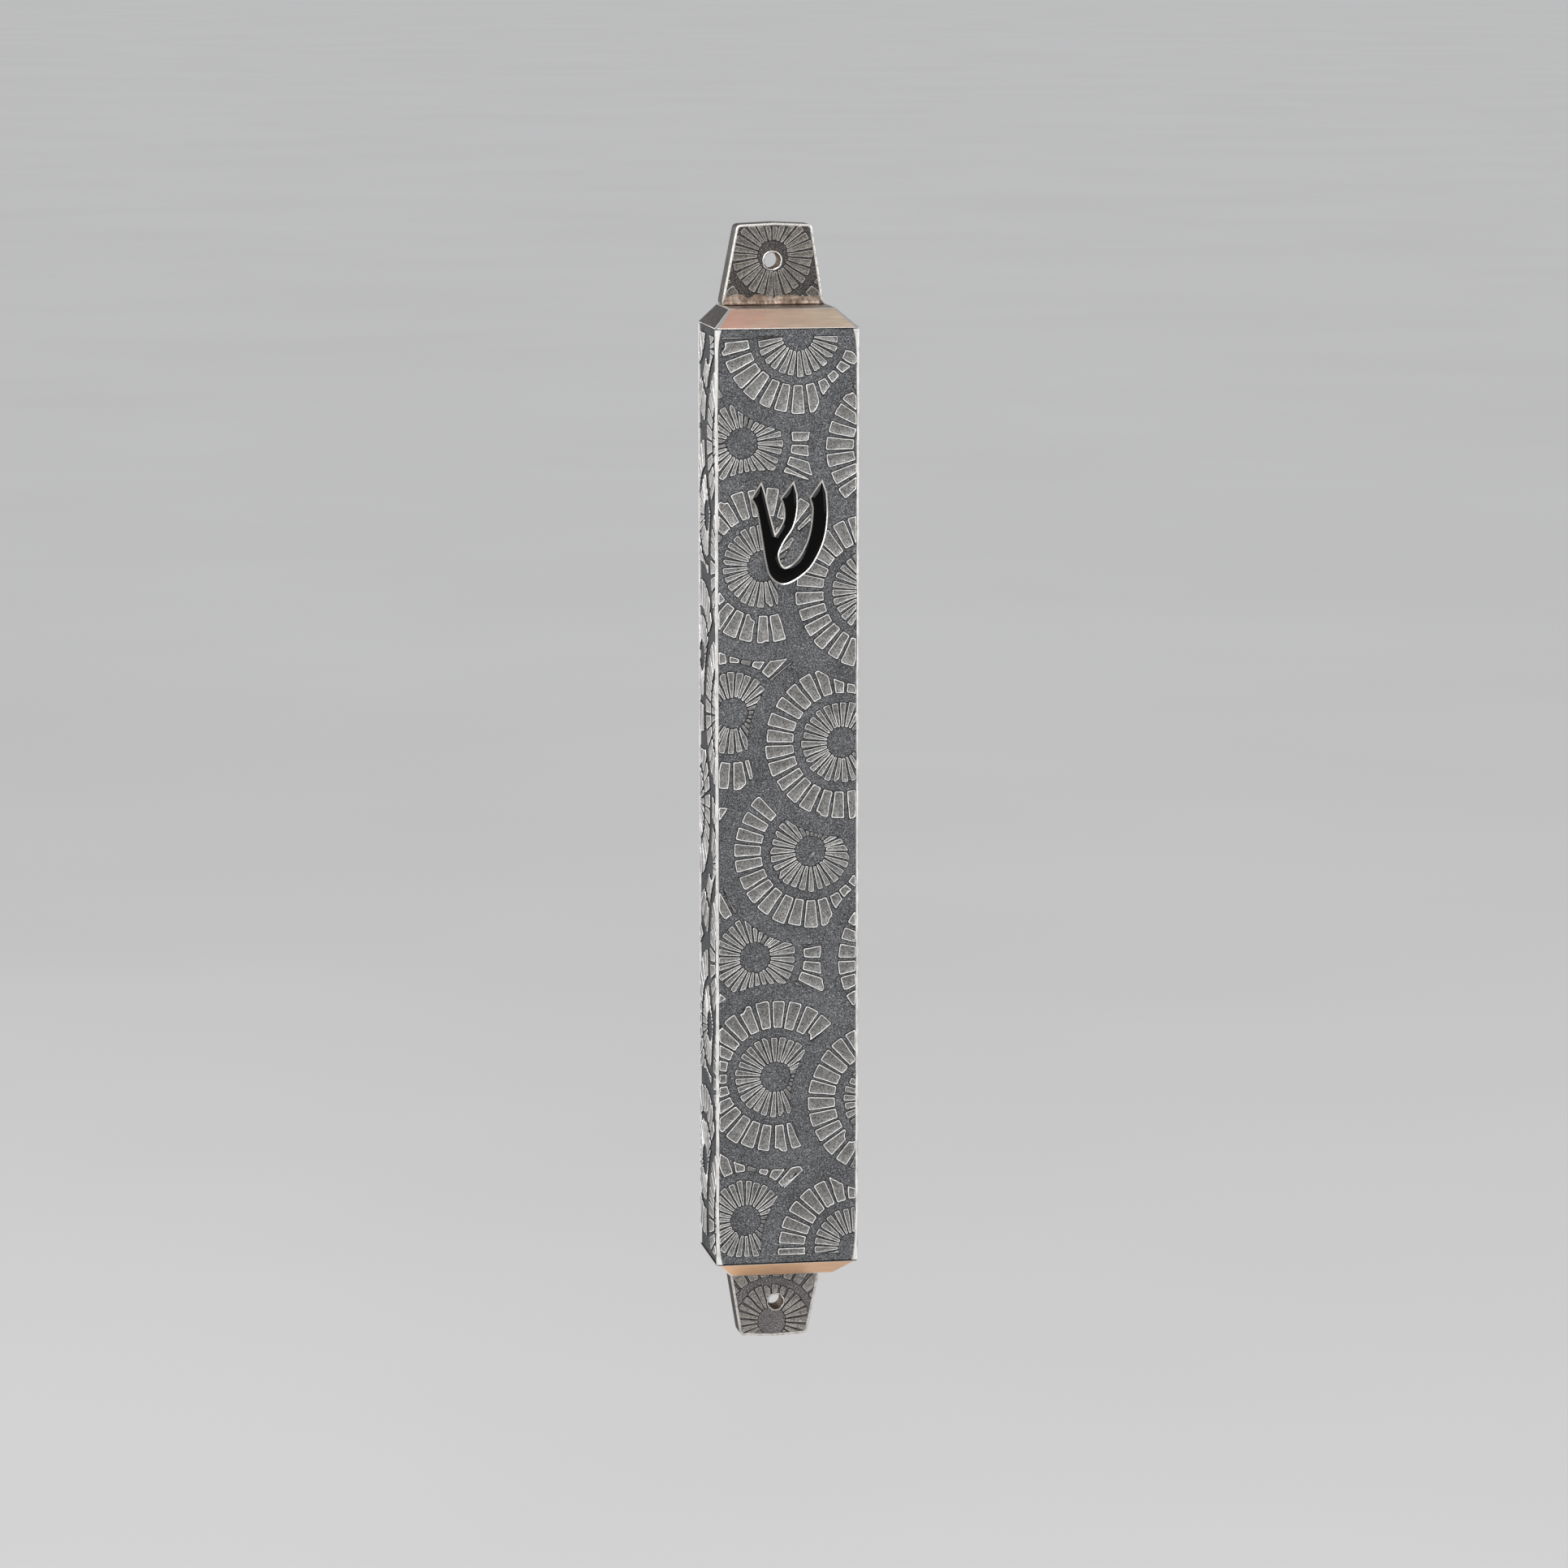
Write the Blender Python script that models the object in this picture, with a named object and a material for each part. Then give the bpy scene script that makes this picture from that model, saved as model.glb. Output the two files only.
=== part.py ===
"""A box-section metal mezuzah case, 129 mm tall, with its push-in bottom plug and rolled parchment.

Frame: +Z up, +X to the viewer's right, the etched front faces -Y. The origin is the middle of the
back sheet, in the plane that lies against the door post.
"""

import math

import bmesh
import bpy
from mathutils import Vector

MM = 0.001

# Case body: one sheet folded into front and sides, closed behind by a flat sheet.
BODY_WIDTH = 16.4 * MM
BODY_DEPTH = 12.0 * MM
FACE_HEIGHT = 106.6 * MM
SHEET = 0.9 * MM
FOLD_RADIUS = 0.6 * MM
SEAM = 0.12 * MM

# End caps: flat plates whose front and side edges slope in.
TOP_CAP_HEIGHT = 2.1 * MM
BOTTOM_CAP_HEIGHT = 2.15 * MM
CAP_SIDE_SLOPE = 2.2 * MM
CAP_FRONT_SLOPE = 3.35 * MM
CAP_TOP_RADIUS = 0.2 * MM
SPIGOT_DEPTH = 1.0 * MM

# Nail tabs: tapered plates in the plane of the back. Each width pair is (left, right) of the middle.
TAB_THICKNESS = 3.0 * MM
TAB_CORNER_RADIUS = 0.55 * MM
TAB_TIP_BOW = 0.2 * MM
TOP_TAB_LENGTH = 9.1 * MM
TOP_TAB_ROOT = (6.0 * MM, 5.7 * MM)
TOP_TAB_TIP = (4.25 * MM, 4.35 * MM)
TOP_HOLE_RADIUS = 0.92 * MM
TOP_HOLE_PLACE = (-0.17 * MM, 4.82 * MM)
BOTTOM_TAB_LENGTH = 8.5 * MM
BOTTOM_TAB_ROOT = (5.35 * MM, 5.55 * MM)
BOTTOM_TAB_TIP = (4.0 * MM, 3.85 * MM)
BOTTOM_HOLE_RADIUS = 0.85 * MM
BOTTOM_HOLE_PLACE = (0.2 * MM, 4.45 * MM)

# Plug: a thin rectangular collar that slides inside the body.
COLLAR_CLEARANCE = 0.1 * MM
COLLAR_WALL = 0.6 * MM
COLLAR_HEIGHT = 7.0 * MM
COLLAR_CORNER_RADIUS = 0.7 * MM

# Parchment: a 10 cm sheet, rolled, standing in the collar against its left side.
SCROLL_LENGTH = 100.0 * MM
SCROLL_RADIUS = 4.0 * MM
SCROLL_CORE_RADIUS = 1.6 * MM
SCROLL_SIDE_GAP = 0.35 * MM
BAND_HEIGHT = 14.0 * MM
BAND_THICKNESS = 0.25 * MM
BAND_GAP = 0.15 * MM

# Letter on the front: a silver border filled with enamel.
LETTER_PLACE = (0.1 * MM, 30.65 * MM)
LETTER_BORDER = 0.24 * MM
BORDER_HEIGHT = 0.62 * MM
ENAMEL_HEIGHT = 0.5 * MM
ENAMEL_GAP = 0.1 * MM

ARC_STEPS = 6
ROUND_STEPS = 36
CURVE_STEPS = 5

HALF_WIDTH = BODY_WIDTH / 2
HALF_FACE = FACE_HEIGHT / 2
INNER_HALF_WIDTH = HALF_WIDTH - SHEET
INNER_FRONT = -(BODY_DEPTH - SHEET)
INNER_BACK = -SHEET
CHAMBER_Y = (INNER_FRONT + INNER_BACK) / 2

# The letter's outline in mm about its middle, anticlockwise, as (x, z, sharp). Each of its three
# arms has a wedge head; the arms meet in a rounded foot. Points not marked sharp lie on a curve.
LETTER_OUTLINE = (
    (-4.4, 3.75, True),
    (-3.8, 2.6, False),
    (-3.35, 0.2, False),
    (-2.75, -3.4, False),
    (-2.2, -5.1, False),
    (-0.8, -6.0, False),
    (0.9, -5.4, False),
    (2.6, -3.9, False),
    (3.95, -1.2, False),
    (4.4, 1.6, False),
    (4.3, 4.3, True),
    (3.75, 5.9, True),
    (2.25, 3.75, True),
    (2.55, 2.6, False),
    (2.4, 0.6, False),
    (1.9, -1.3, False),
    (0.85, -3.1, False),
    (-0.5, -3.95, False),
    (-1.15, -2.7, False),
    (-0.6, -1.2, False),
    (0.5, 0.5, False),
    (0.95, 2.4, False),
    (0.95, 4.2, True),
    (0.5, 5.75, True),
    (-1.05, 3.75, True),
    (-0.7, 2.7, False),
    (-0.75, 1.2, False),
    (-1.6, -0.2, True),
    (-2.2, 2.2, False),
    (-2.7, 4.3, True),
    (-3.15, 5.75, True),
)


def clear_scene():
    for piece in list(bpy.data.objects):
        bpy.data.objects.remove(piece)


def surface(name, colour, roughness, metallic):
    """A plain Principled material."""
    made = bpy.data.materials.new(name)
    made.use_nodes = True
    shader = made.node_tree.nodes["Principled BSDF"]
    shader.inputs["Base Color"].default_value = (*colour, 1.0)
    shader.inputs["Roughness"].default_value = roughness
    shader.inputs["Metallic"].default_value = metallic
    return made


def empty(name, parent, location):
    """An empty that carries the pieces of one moving body."""
    made = bpy.data.objects.new(name, None)
    bpy.context.collection.objects.link(made)
    made.parent = parent
    made.location = location
    return made


def piece(name, mesh_maker, finish, parent, location=(0, 0, 0)):
    """A mesh object from a filled bmesh, with its faces turned outwards."""
    bmesh.ops.recalc_face_normals(mesh_maker, faces=mesh_maker.faces)
    mesh = bpy.data.meshes.new(name)
    mesh_maker.to_mesh(mesh)
    mesh_maker.free()
    mesh.materials.append(finish)
    made = bpy.data.objects.new(name, mesh)
    bpy.context.collection.objects.link(made)
    made.parent = parent
    made.location = location
    return made


def loft(rings, closed=False):
    """A solid skinned over rings of equal length. A closed loft joins its last ring to its first."""
    made = bmesh.new()
    loops = [[made.verts.new(point) for point in ring] for ring in rings]
    pairs = list(zip(loops, loops[1:]))
    if closed:
        pairs.append((loops[-1], loops[0]))
    for low, high in pairs:
        for index in range(len(low)):
            after = (index + 1) % len(low)
            made.faces.new((low[index], low[after], high[after], high[index]))
    if not closed:
        made.faces.new(list(reversed(loops[0])))
        made.faces.new(loops[-1])
    return made


def rounded(corners, steps=ARC_STEPS):
    """The outline through (x, y, radius) corners, each rounded by an arc of its radius."""
    outline = []
    count = len(corners)
    for index, (x, y, radius) in enumerate(corners):
        here = Vector((x, y))
        if radius == 0:
            outline.append(here)
            continue
        before = (Vector(corners[index - 1][:2]) - here).normalized()
        after = (Vector(corners[(index + 1) % count][:2]) - here).normalized()
        half_angle = before.angle(after) / 2
        middle = here + (before + after).normalized() * (radius / math.sin(half_angle))
        reach = radius / math.tan(half_angle)
        start = here + before * reach - middle
        turn = start.angle_signed(here + after * reach - middle)
        for step in range(steps + 1):
            angle = turn * step / steps
            cosine = math.cos(angle)
            sine = math.sin(angle)
            spoke = Vector((start.x * cosine + start.y * sine, start.y * cosine - start.x * sine))
            outline.append(middle + spoke)
    return outline


def at_height(outline, z):
    """An (x, y) outline as a ring at height z."""
    return [(point.x, point.y, z) for point in outline]


def at_depth(outline, y):
    """An (x, z) outline as a ring in the plane of depth y."""
    return [(point.x, y, point.y) for point in outline]


def circle(radius, z, steps=ROUND_STEPS):
    """A ring about the Z axis."""
    angles = [math.tau * step / steps for step in range(steps)]
    return [(radius * math.cos(angle), radius * math.sin(angle), z) for angle in angles]


def smooth_sides(made, sharp_degrees=35):
    made.data.shade_smooth()
    made.data.set_sharp_from_angle(angle=math.radians(sharp_degrees))


def make_channel(finish, parent):
    """Front and sides: one sheet with two folds, open behind and at both ends."""
    corners = [
        (-HALF_WIDTH, 0, 0),
        (-HALF_WIDTH, -BODY_DEPTH, FOLD_RADIUS),
        (HALF_WIDTH, -BODY_DEPTH, FOLD_RADIUS),
        (HALF_WIDTH, 0, 0),
        (INNER_HALF_WIDTH, 0, 0),
        (INNER_HALF_WIDTH, INNER_FRONT, 0),
        (-INNER_HALF_WIDTH, INNER_FRONT, 0),
        (-INNER_HALF_WIDTH, 0, 0),
    ]
    outline = rounded(corners)
    half = HALF_FACE - SEAM / 2
    made = piece(
        "case_channel", loft([at_height(outline, -half), at_height(outline, half)]), finish, parent
    )
    smooth_sides(made)


def make_back_sheet(finish, parent):
    """Flat sheet between the channel's side walls, flush with their back edges."""
    half = INNER_HALF_WIDTH - SEAM
    outline = rounded([(-half, -SHEET, 0), (half, -SHEET, 0), (half, 0, 0), (-half, 0, 0)])
    reach = HALF_FACE - SEAM / 2
    piece("back_sheet", loft([at_height(outline, -reach), at_height(outline, reach)]), finish, parent)


def cap_section(half_width, front, back, radius):
    """A cap's outline at one height, with rounded front corners."""
    corners = [
        (-half_width, back, 0),
        (-half_width, front, radius),
        (half_width, front, radius),
        (half_width, back, 0),
    ]
    return rounded(corners)


def make_top_cap(finish, parent):
    """Sloped end plate with a low spigot that drops into the tube. Its origin is on the seam."""
    base = cap_section(HALF_WIDTH, -BODY_DEPTH, 0, FOLD_RADIUS)
    flat = cap_section(HALF_WIDTH - CAP_SIDE_SLOPE, CAP_FRONT_SLOPE - BODY_DEPTH, 0, CAP_TOP_RADIUS)
    spigot = cap_section(INNER_HALF_WIDTH - SEAM, INNER_FRONT + SEAM, INNER_BACK - SEAM, CAP_TOP_RADIUS)
    under = SEAM / 2
    rings = [
        at_height(spigot, -SPIGOT_DEPTH),
        at_height(spigot, under),
        at_height(base, under),
        at_height(flat, TOP_CAP_HEIGHT),
    ]
    piece("top_cap", loft(rings), finish, parent, (0, 0, HALF_FACE))


def make_bottom_cap(finish, parent, location):
    """Sloped end plate that closes the tube from below. Its origin is on the seam."""
    base = cap_section(HALF_WIDTH, -BODY_DEPTH, 0, FOLD_RADIUS)
    flat = cap_section(HALF_WIDTH - CAP_SIDE_SLOPE, CAP_FRONT_SLOPE - BODY_DEPTH, 0, CAP_TOP_RADIUS)
    rings = [at_height(base, -SEAM / 2), at_height(flat, -BOTTOM_CAP_HEIGHT)]
    piece("bottom_cap", loft(rings), finish, parent, location)


def tab_outline(root, tip, length):
    """A tab pointing up from z = 0: tapered, with round shoulders and a slightly bowed tip."""
    corners = [
        (-root[0], 0, 0),
        (root[1], 0, 0),
        (tip[1], length - TAB_TIP_BOW, TAB_CORNER_RADIUS),
        (0, length, 0),
        (-tip[0], length - TAB_TIP_BOW, TAB_CORNER_RADIUS),
    ]
    return rounded(corners)


def make_tab(name, outline, hole_radius, hole_place, finish, parent, location):
    """A nail tab, drilled through from front to back."""
    rings = [at_depth(outline, -TAB_THICKNESS), at_depth(outline, 0)]
    tab = piece(name, loft(rings), finish, parent, location)
    drill = bmesh.new()
    bmesh.ops.create_cone(
        drill,
        cap_ends=True,
        segments=ROUND_STEPS,
        radius1=hole_radius,
        radius2=hole_radius,
        depth=3 * TAB_THICKNESS,
    )
    cutter = piece(name + "_drill", drill, finish, tab, (hole_place[0], -TAB_THICKNESS / 2, hole_place[1]))
    cutter.rotation_euler = (math.pi / 2, 0, 0)
    cutter.hide_render = True
    cutter.display_type = "WIRE"
    cut = tab.modifiers.new("nail hole", "BOOLEAN")
    cut.operation = "DIFFERENCE"
    cut.solver = "EXACT"
    cut.object = cutter
    smooth_sides(tab)


def make_top_tab(finish, parent):
    outline = tab_outline(TOP_TAB_ROOT, TOP_TAB_TIP, TOP_TAB_LENGTH)
    location = (0, 0, HALF_FACE + TOP_CAP_HEIGHT + SEAM)
    make_tab("top_tab", outline, TOP_HOLE_RADIUS, TOP_HOLE_PLACE, finish, parent, location)


def make_bottom_tab(finish, parent, seam_place):
    outline = tab_outline(BOTTOM_TAB_ROOT, BOTTOM_TAB_TIP, BOTTOM_TAB_LENGTH)
    turned = [Vector((point.x, -point.y)) for point in reversed(outline)]
    location = seam_place + Vector((0, 0, -BOTTOM_CAP_HEIGHT - SEAM))
    place = (BOTTOM_HOLE_PLACE[0], -BOTTOM_HOLE_PLACE[1])
    make_tab("bottom_tab", turned, BOTTOM_HOLE_RADIUS, place, finish, parent, location)


def make_collar(finish, parent, location):
    """Rectangular sleeve that stands on the bottom cap and slides up inside the tube."""
    half_width = INNER_HALF_WIDTH - COLLAR_CLEARANCE
    half_depth = (INNER_BACK - INNER_FRONT) / 2 - COLLAR_CLEARANCE

    def section(inset):
        x = half_width - inset
        y = half_depth - inset
        radius = COLLAR_CORNER_RADIUS - inset
        return rounded([(-x, -y, radius), (x, -y, radius), (x, y, radius), (-x, y, radius)])

    outer = section(0)
    inner = section(COLLAR_WALL)
    low = SEAM / 2
    high = low + COLLAR_HEIGHT
    rings = [at_height(outer, low), at_height(outer, high), at_height(inner, high), at_height(inner, low)]
    collar = piece("plug_collar", loft(rings, closed=True), finish, parent, location)
    smooth_sides(collar)


def make_scroll(finish, parent):
    """The rolled parchment, as a thick tube about its own axis."""
    low = SEAM / 2
    high = low + SCROLL_LENGTH
    rings = [
        circle(SCROLL_RADIUS, low),
        circle(SCROLL_RADIUS, high),
        circle(SCROLL_CORE_RADIUS, high),
        circle(SCROLL_CORE_RADIUS, low),
    ]
    smooth_sides(piece("parchment_scroll", loft(rings, closed=True), finish, parent))


def make_band(finish, parent):
    """Paper band that keeps the scroll rolled, round its middle."""
    low = (SCROLL_LENGTH - BAND_HEIGHT) / 2
    high = low + BAND_HEIGHT
    inner = SCROLL_RADIUS + BAND_GAP
    outer = inner + BAND_THICKNESS
    rings = [circle(outer, low), circle(outer, high), circle(inner, high), circle(inner, low)]
    smooth_sides(piece("paper_band", loft(rings, closed=True), finish, parent))


def curve_through(points):
    """The closed outline through (x, z, sharp) points, as a Catmull-Rom curve between sharp ones."""
    outline = []
    count = len(points)
    for index in range(count):
        start = Vector(points[index][:2])
        end = Vector(points[(index + 1) % count][:2])
        before = start if points[index][2] else Vector(points[index - 1][:2])
        after = end if points[(index + 1) % count][2] else Vector(points[(index + 2) % count][:2])
        straight = points[index][2] and points[(index + 1) % count][2]
        steps = 1 if straight else CURVE_STEPS
        leave = (end - before) / 2
        arrive = (after - start) / 2
        for step in range(steps):
            t = step / steps
            outline.append(
                start * (2 * t**3 - 3 * t**2 + 1)
                + leave * (t**3 - 2 * t**2 + t)
                + end * (3 * t**2 - 2 * t**3)
                + arrive * (t**3 - t**2)
            )
    return outline


def inset(points, distance):
    """Anticlockwise (x, z, sharp) points moved inwards by distance, with mitred corners."""
    moved = []
    count = len(points)
    for index, (x, z, sharp) in enumerate(points):
        here = Vector((x, z))
        into = (here - Vector(points[index - 1][:2])).normalized().orthogonal()
        out = (Vector(points[(index + 1) % count][:2]) - here).normalized().orthogonal()
        across = (into + out).normalized()
        spot = here + across * (distance / across.dot(out))
        moved.append((spot.x, spot.y, sharp))
    return moved


def make_letter(border_finish, enamel_finish, parent):
    """The letter's raised silver border and the enamel that fills it."""
    points = [(x * MM, z * MM, sharp) for x, z, sharp in LETTER_OUTLINE]
    outline = curve_through(points)
    border = curve_through(inset(points, LETTER_BORDER))
    fill = curve_through(inset(points, LETTER_BORDER + ENAMEL_GAP))
    back = -SEAM
    location = (LETTER_PLACE[0], -BODY_DEPTH, LETTER_PLACE[1])
    border_rings = [
        at_depth(outline, back),
        at_depth(outline, back - BORDER_HEIGHT),
        at_depth(border, back - BORDER_HEIGHT),
        at_depth(border, back),
    ]
    piece("letter_border", loft(border_rings, closed=True), border_finish, parent, location)
    fill_rings = [at_depth(fill, back), at_depth(fill, back - ENAMEL_HEIGHT)]
    piece("letter_enamel", loft(fill_rings), enamel_finish, parent, location)


def main():
    clear_scene()
    etched = surface("etched silver", (0.30, 0.31, 0.33), 0.45, 1.0)
    polished = surface("polished silver", (0.72, 0.68, 0.62), 0.25, 1.0)
    plain = surface("plain silver", (0.55, 0.54, 0.52), 0.35, 1.0)
    enamel = surface("black enamel", (0.01, 0.01, 0.012), 0.08, 0.0)
    parchment = surface("parchment", (0.80, 0.70, 0.50), 0.7, 0.0)
    paper = surface("paper", (0.88, 0.86, 0.80), 0.8, 0.0)

    case = empty("case", None, (0, 0, 0))
    make_channel(etched, case)
    make_back_sheet(plain, case)
    make_top_cap(polished, case)
    make_top_tab(etched, case)
    make_letter(polished, enamel, case)

    # The plug slides down the tube's own axis, which runs through the middle of the chamber.
    plug = empty("plug", case, (0, CHAMBER_Y, -HALF_FACE))
    seam_place = Vector((0, -CHAMBER_Y, 0))
    make_bottom_cap(polished, plug, seam_place)
    make_bottom_tab(etched, plug, seam_place)
    make_collar(plain, plug, (0, 0, 0))

    scroll_x = SCROLL_RADIUS + SCROLL_SIDE_GAP + COLLAR_WALL + COLLAR_CLEARANCE - INNER_HALF_WIDTH
    scroll = empty("scroll", plug, (scroll_x, 0, 0))
    make_scroll(parchment, scroll)
    make_band(paper, scroll)


main()
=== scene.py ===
"""Looks of the etched metal mezuzah case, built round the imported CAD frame.

Lengths are in millimetres until finished() turns them into metres. Everything is placed in the CAD's
own frame: +Z up, the etched front faces -Y, and the origin is the middle of the back plane.
"""

import math
import random

import bmesh
import bpy
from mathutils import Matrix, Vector, geometry, noise


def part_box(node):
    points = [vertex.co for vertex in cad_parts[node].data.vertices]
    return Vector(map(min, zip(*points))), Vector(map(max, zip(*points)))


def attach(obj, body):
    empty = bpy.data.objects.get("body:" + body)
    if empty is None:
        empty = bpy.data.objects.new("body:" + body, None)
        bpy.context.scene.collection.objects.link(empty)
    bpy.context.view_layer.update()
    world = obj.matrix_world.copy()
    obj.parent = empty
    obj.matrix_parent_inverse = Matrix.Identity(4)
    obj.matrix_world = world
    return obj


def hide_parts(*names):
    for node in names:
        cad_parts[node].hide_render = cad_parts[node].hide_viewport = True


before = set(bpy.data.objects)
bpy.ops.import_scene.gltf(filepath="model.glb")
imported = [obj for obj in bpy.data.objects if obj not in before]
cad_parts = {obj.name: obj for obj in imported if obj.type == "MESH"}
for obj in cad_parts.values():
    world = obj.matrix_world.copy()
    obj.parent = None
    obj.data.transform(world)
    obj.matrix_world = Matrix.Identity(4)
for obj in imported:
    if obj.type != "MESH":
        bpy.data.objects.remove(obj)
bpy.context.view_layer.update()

MM = 0.001


class Box:
    """Lowest and highest corner of a CAD node, in millimetres."""

    def __init__(self, node):
        low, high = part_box(node)
        self.low = low / MM
        self.high = high / MM
        self.middle = (self.low + self.high) / 2
        self.size = self.high - self.low


CHANNEL = Box("case_channel")
BACK = Box("back_sheet")
TOP_CAP = Box("top_cap")
BOTTOM_CAP = Box("bottom_cap")
TOP_TAB = Box("top_tab")
BOTTOM_TAB = Box("bottom_tab")
BORDER = Box("letter_border")
COLLAR = Box("plug_collar")
SCROLL = Box("parchment_scroll")
BAND = Box("paper_band")

# Case body: one folded sheet, etched all over but for polished strips along its folds and edges.
HALF_WIDTH = CHANNEL.high.x
HALF_HEIGHT = CHANNEL.high.z
FRONT = CHANNEL.low.y
DEPTH = CHANNEL.size.y
SHEET = 0.9
SEAM = 0.12
FOLD_RADIUS = 0.2
FOLD_STEPS = 8
FRONT_STRIP = 0.3
SIDE_STRIP = 0.24
BACK_STRIP = 0.3
STRIP_EDGE = 0.06
FLARE = 0.4
FLARE_REACH = 1.1
BODY_STEPS = 160
BACK_COLUMNS = 18
BACK_ROWS = 90

# Section of the etched relief, as (inset from a segment's outline, height over the etched floor):
# a skirt of oxide darkened further as painted shade, the walls, and then a rim round a top that is a little
# sunk.
RELIEF = 0.18
SKIRT = ((-0.12, -0.03), (-0.11, 0.006), (-0.03, 0.014))
WALLS = ((-0.005, RELIEF - 0.05), (0.015, RELIEF))
INNER_RIM = 0.05
OUTER_RIM = 0.08
TOP_SINK = (0.09, 0.04)
END_MARGIN = 0.85
BACK_MARGIN = 0.34

# Rosettes of the etched pattern: a plain disc, then an inner and an outer ring of wedge segments.
# Gaps are the bare widths between segments at a ring's inner and outer ends. CHIPPED is the share of
# segments with a chip out of a corner, and CHIPPED_OUTSIDE of those with it at the outer end.
INNER_RING = (1.8, 4.6)
OUTER_RING = (5.65, 8.75)
INNER_GAPS = (0.15, 0.37)
OUTER_GAPS = (0.32, 0.54)
CLEAR_RADIUS = 10.8
SEGMENTS = 27
NEARBY = 3.0
CHIPPED = 0.12
CHIPPED_OUTSIDE = 0.08
CHIP_RADIUS = 0.3
CHIP_GROWTH = 2.4
CHIP_OFFSET = 0.45

# The pattern lies on the flat sheet before it is folded. u runs round the case: the front is
# |u| < HALF_WIDTH, the left side is below that and the right side above it. It repeats by two steps.
STEP_UP = Vector((-1.42, 58.35))
STEP_RIGHT = Vector((27.7, 8.1))
PATTERN_HEIGHT = 66.0
# (u, z, column, rank in the column). A higher column, then a higher rank, lies in front.
ROSETTES = (
    (1.2, 52.6, 1, 2),
    (-5.15, 40.57, 1, 1),
    (-2.8, 26.75, 1, 2),
    (-6.25, 10.2, 1, 1),
    (13.15, 40.02, 2, 2),
    (9.7, 23.71, 2, 3),
    (6.25, 6.58, 2, 2),
    (-13.4, 50.8, 0, 1),
)
# Stray raised specks on the front: (u, z, half length, half width, degrees).
SPECKS = (
    (2.85, -6.25, 0.48, 0.2, 40),
    (-7.2, -22.7, 0.36, 0.15, 48),
    (-7.1, 43.9, 0.27, 0.17, -25),
    (3.45, 31.35, 0.33, 0.26, 0),
    (0.35, -38.0, 0.1, 0.1, 0),
    (2.2, 16.2, 0.12, 0.09, 30),
    (-1.6, -2.6, 0.1, 0.08, 10),
    (4.3, -37.1, 0.09, 0.12, 0),
)

# Caps: how far the sides and the front lean in, and the corner radii at the seam and at the flat.
CAP_SIDE_SLOPE = 2.2
CAP_FRONT_SLOPE = 3.35
CAP_SEAM_RADIUS = 0.5
CAP_FLAT_RADIUS = 0.28
CAP_BACK_RADIUS = 0.05
CAP_CORNER_STEPS = 6
SPIGOT_CLEARANCE = 0.15

# Nail tabs, drawn pointing up from 0. Root and tip are half widths, (left, right) of the middle.
TAB_THICKNESS = TOP_TAB.size.y
TAB_RAYS = 144
TAB_STRIP = 0.28
TAB_ETCH = 0.1
TAB_SEGMENTS = 26
TOP_TAB_SHAPE = {
    "root_z": TOP_TAB.low.z,
    "direction": 1,
    "length": TOP_TAB.size.z,
    "root": (6.0, 5.7),
    "tip": (4.25, 4.35),
    "hole": (-0.17, 4.82),
    "hole_radius": 0.92,
    "rosette": (-0.14, 5.38),
    "rings": (((1.8, 4.57), (0.14, 0.3)), ((5.6, 8.2), OUTER_GAPS)),
    "seed": 21,
}
BOTTOM_TAB_SHAPE = {
    "root_z": BOTTOM_TAB.high.z,
    "direction": -1,
    "length": BOTTOM_TAB.size.z,
    "root": (5.35, 5.55),
    "tip": (4.0, 3.85),
    "hole": (0.2, 4.45),
    "hole_radius": 0.85,
    "rosette": (-0.29, 6.73),
    "rings": (((1.7, 4.3), (0.14, 0.3)), ((5.3, 8.0), OUTER_GAPS)),
    "seed": 22,
}

# Letter: the CAD's outline about its middle, anticlockwise, as (x, z, sharp).
LETTER_PLACE = (0.1, 30.65)
LETTER_BORDER = 0.24
LETTER_HEIGHT = FRONT - BORDER.low.y
ENAMEL_INSET = 0.09
ENAMEL_DOME = 0.11
ENAMEL_SHOULDER = 0.8
ENAMEL_SPACING = 0.16
LETTER_OUTLINE = (
    (-4.4, 3.75, True), (-3.8, 2.6, False), (-3.35, 0.2, False), (-2.75, -3.4, False),
    (-2.2, -5.1, False), (-0.8, -6.0, False), (0.9, -5.4, False), (2.6, -3.9, False),
    (3.95, -1.2, False), (4.4, 1.6, False), (4.3, 4.3, True), (3.75, 5.9, True),
    (2.25, 3.75, True), (2.55, 2.6, False), (2.4, 0.6, False), (1.9, -1.3, False),
    (0.85, -3.1, False), (-0.5, -3.95, False), (-1.15, -2.7, False), (-0.6, -1.2, False),
    (0.5, 0.5, False), (0.95, 2.4, False), (0.95, 4.2, True), (0.5, 5.75, True),
    (-1.05, 3.75, True), (-0.7, 2.7, False), (-0.75, 1.2, False), (-1.6, -0.2, True),
    (-2.2, 2.2, False), (-2.7, 4.3, True), (-3.15, 5.75, True),
)

# Collar, parchment and paper band.
COLLAR_WALL = 0.6
COLLAR_RADIUS = 0.75
SCROLL_CORE = 1.6
SCROLL_SHEET = 0.24
SCROLL_TURNS = 6
SCROLL_STEPS_PER_TURN = 56
BAND_SHEET = 0.1
BAND_STEPS = 90
BAND_TURNS = 1.08
BAND_START = -0.9

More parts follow.
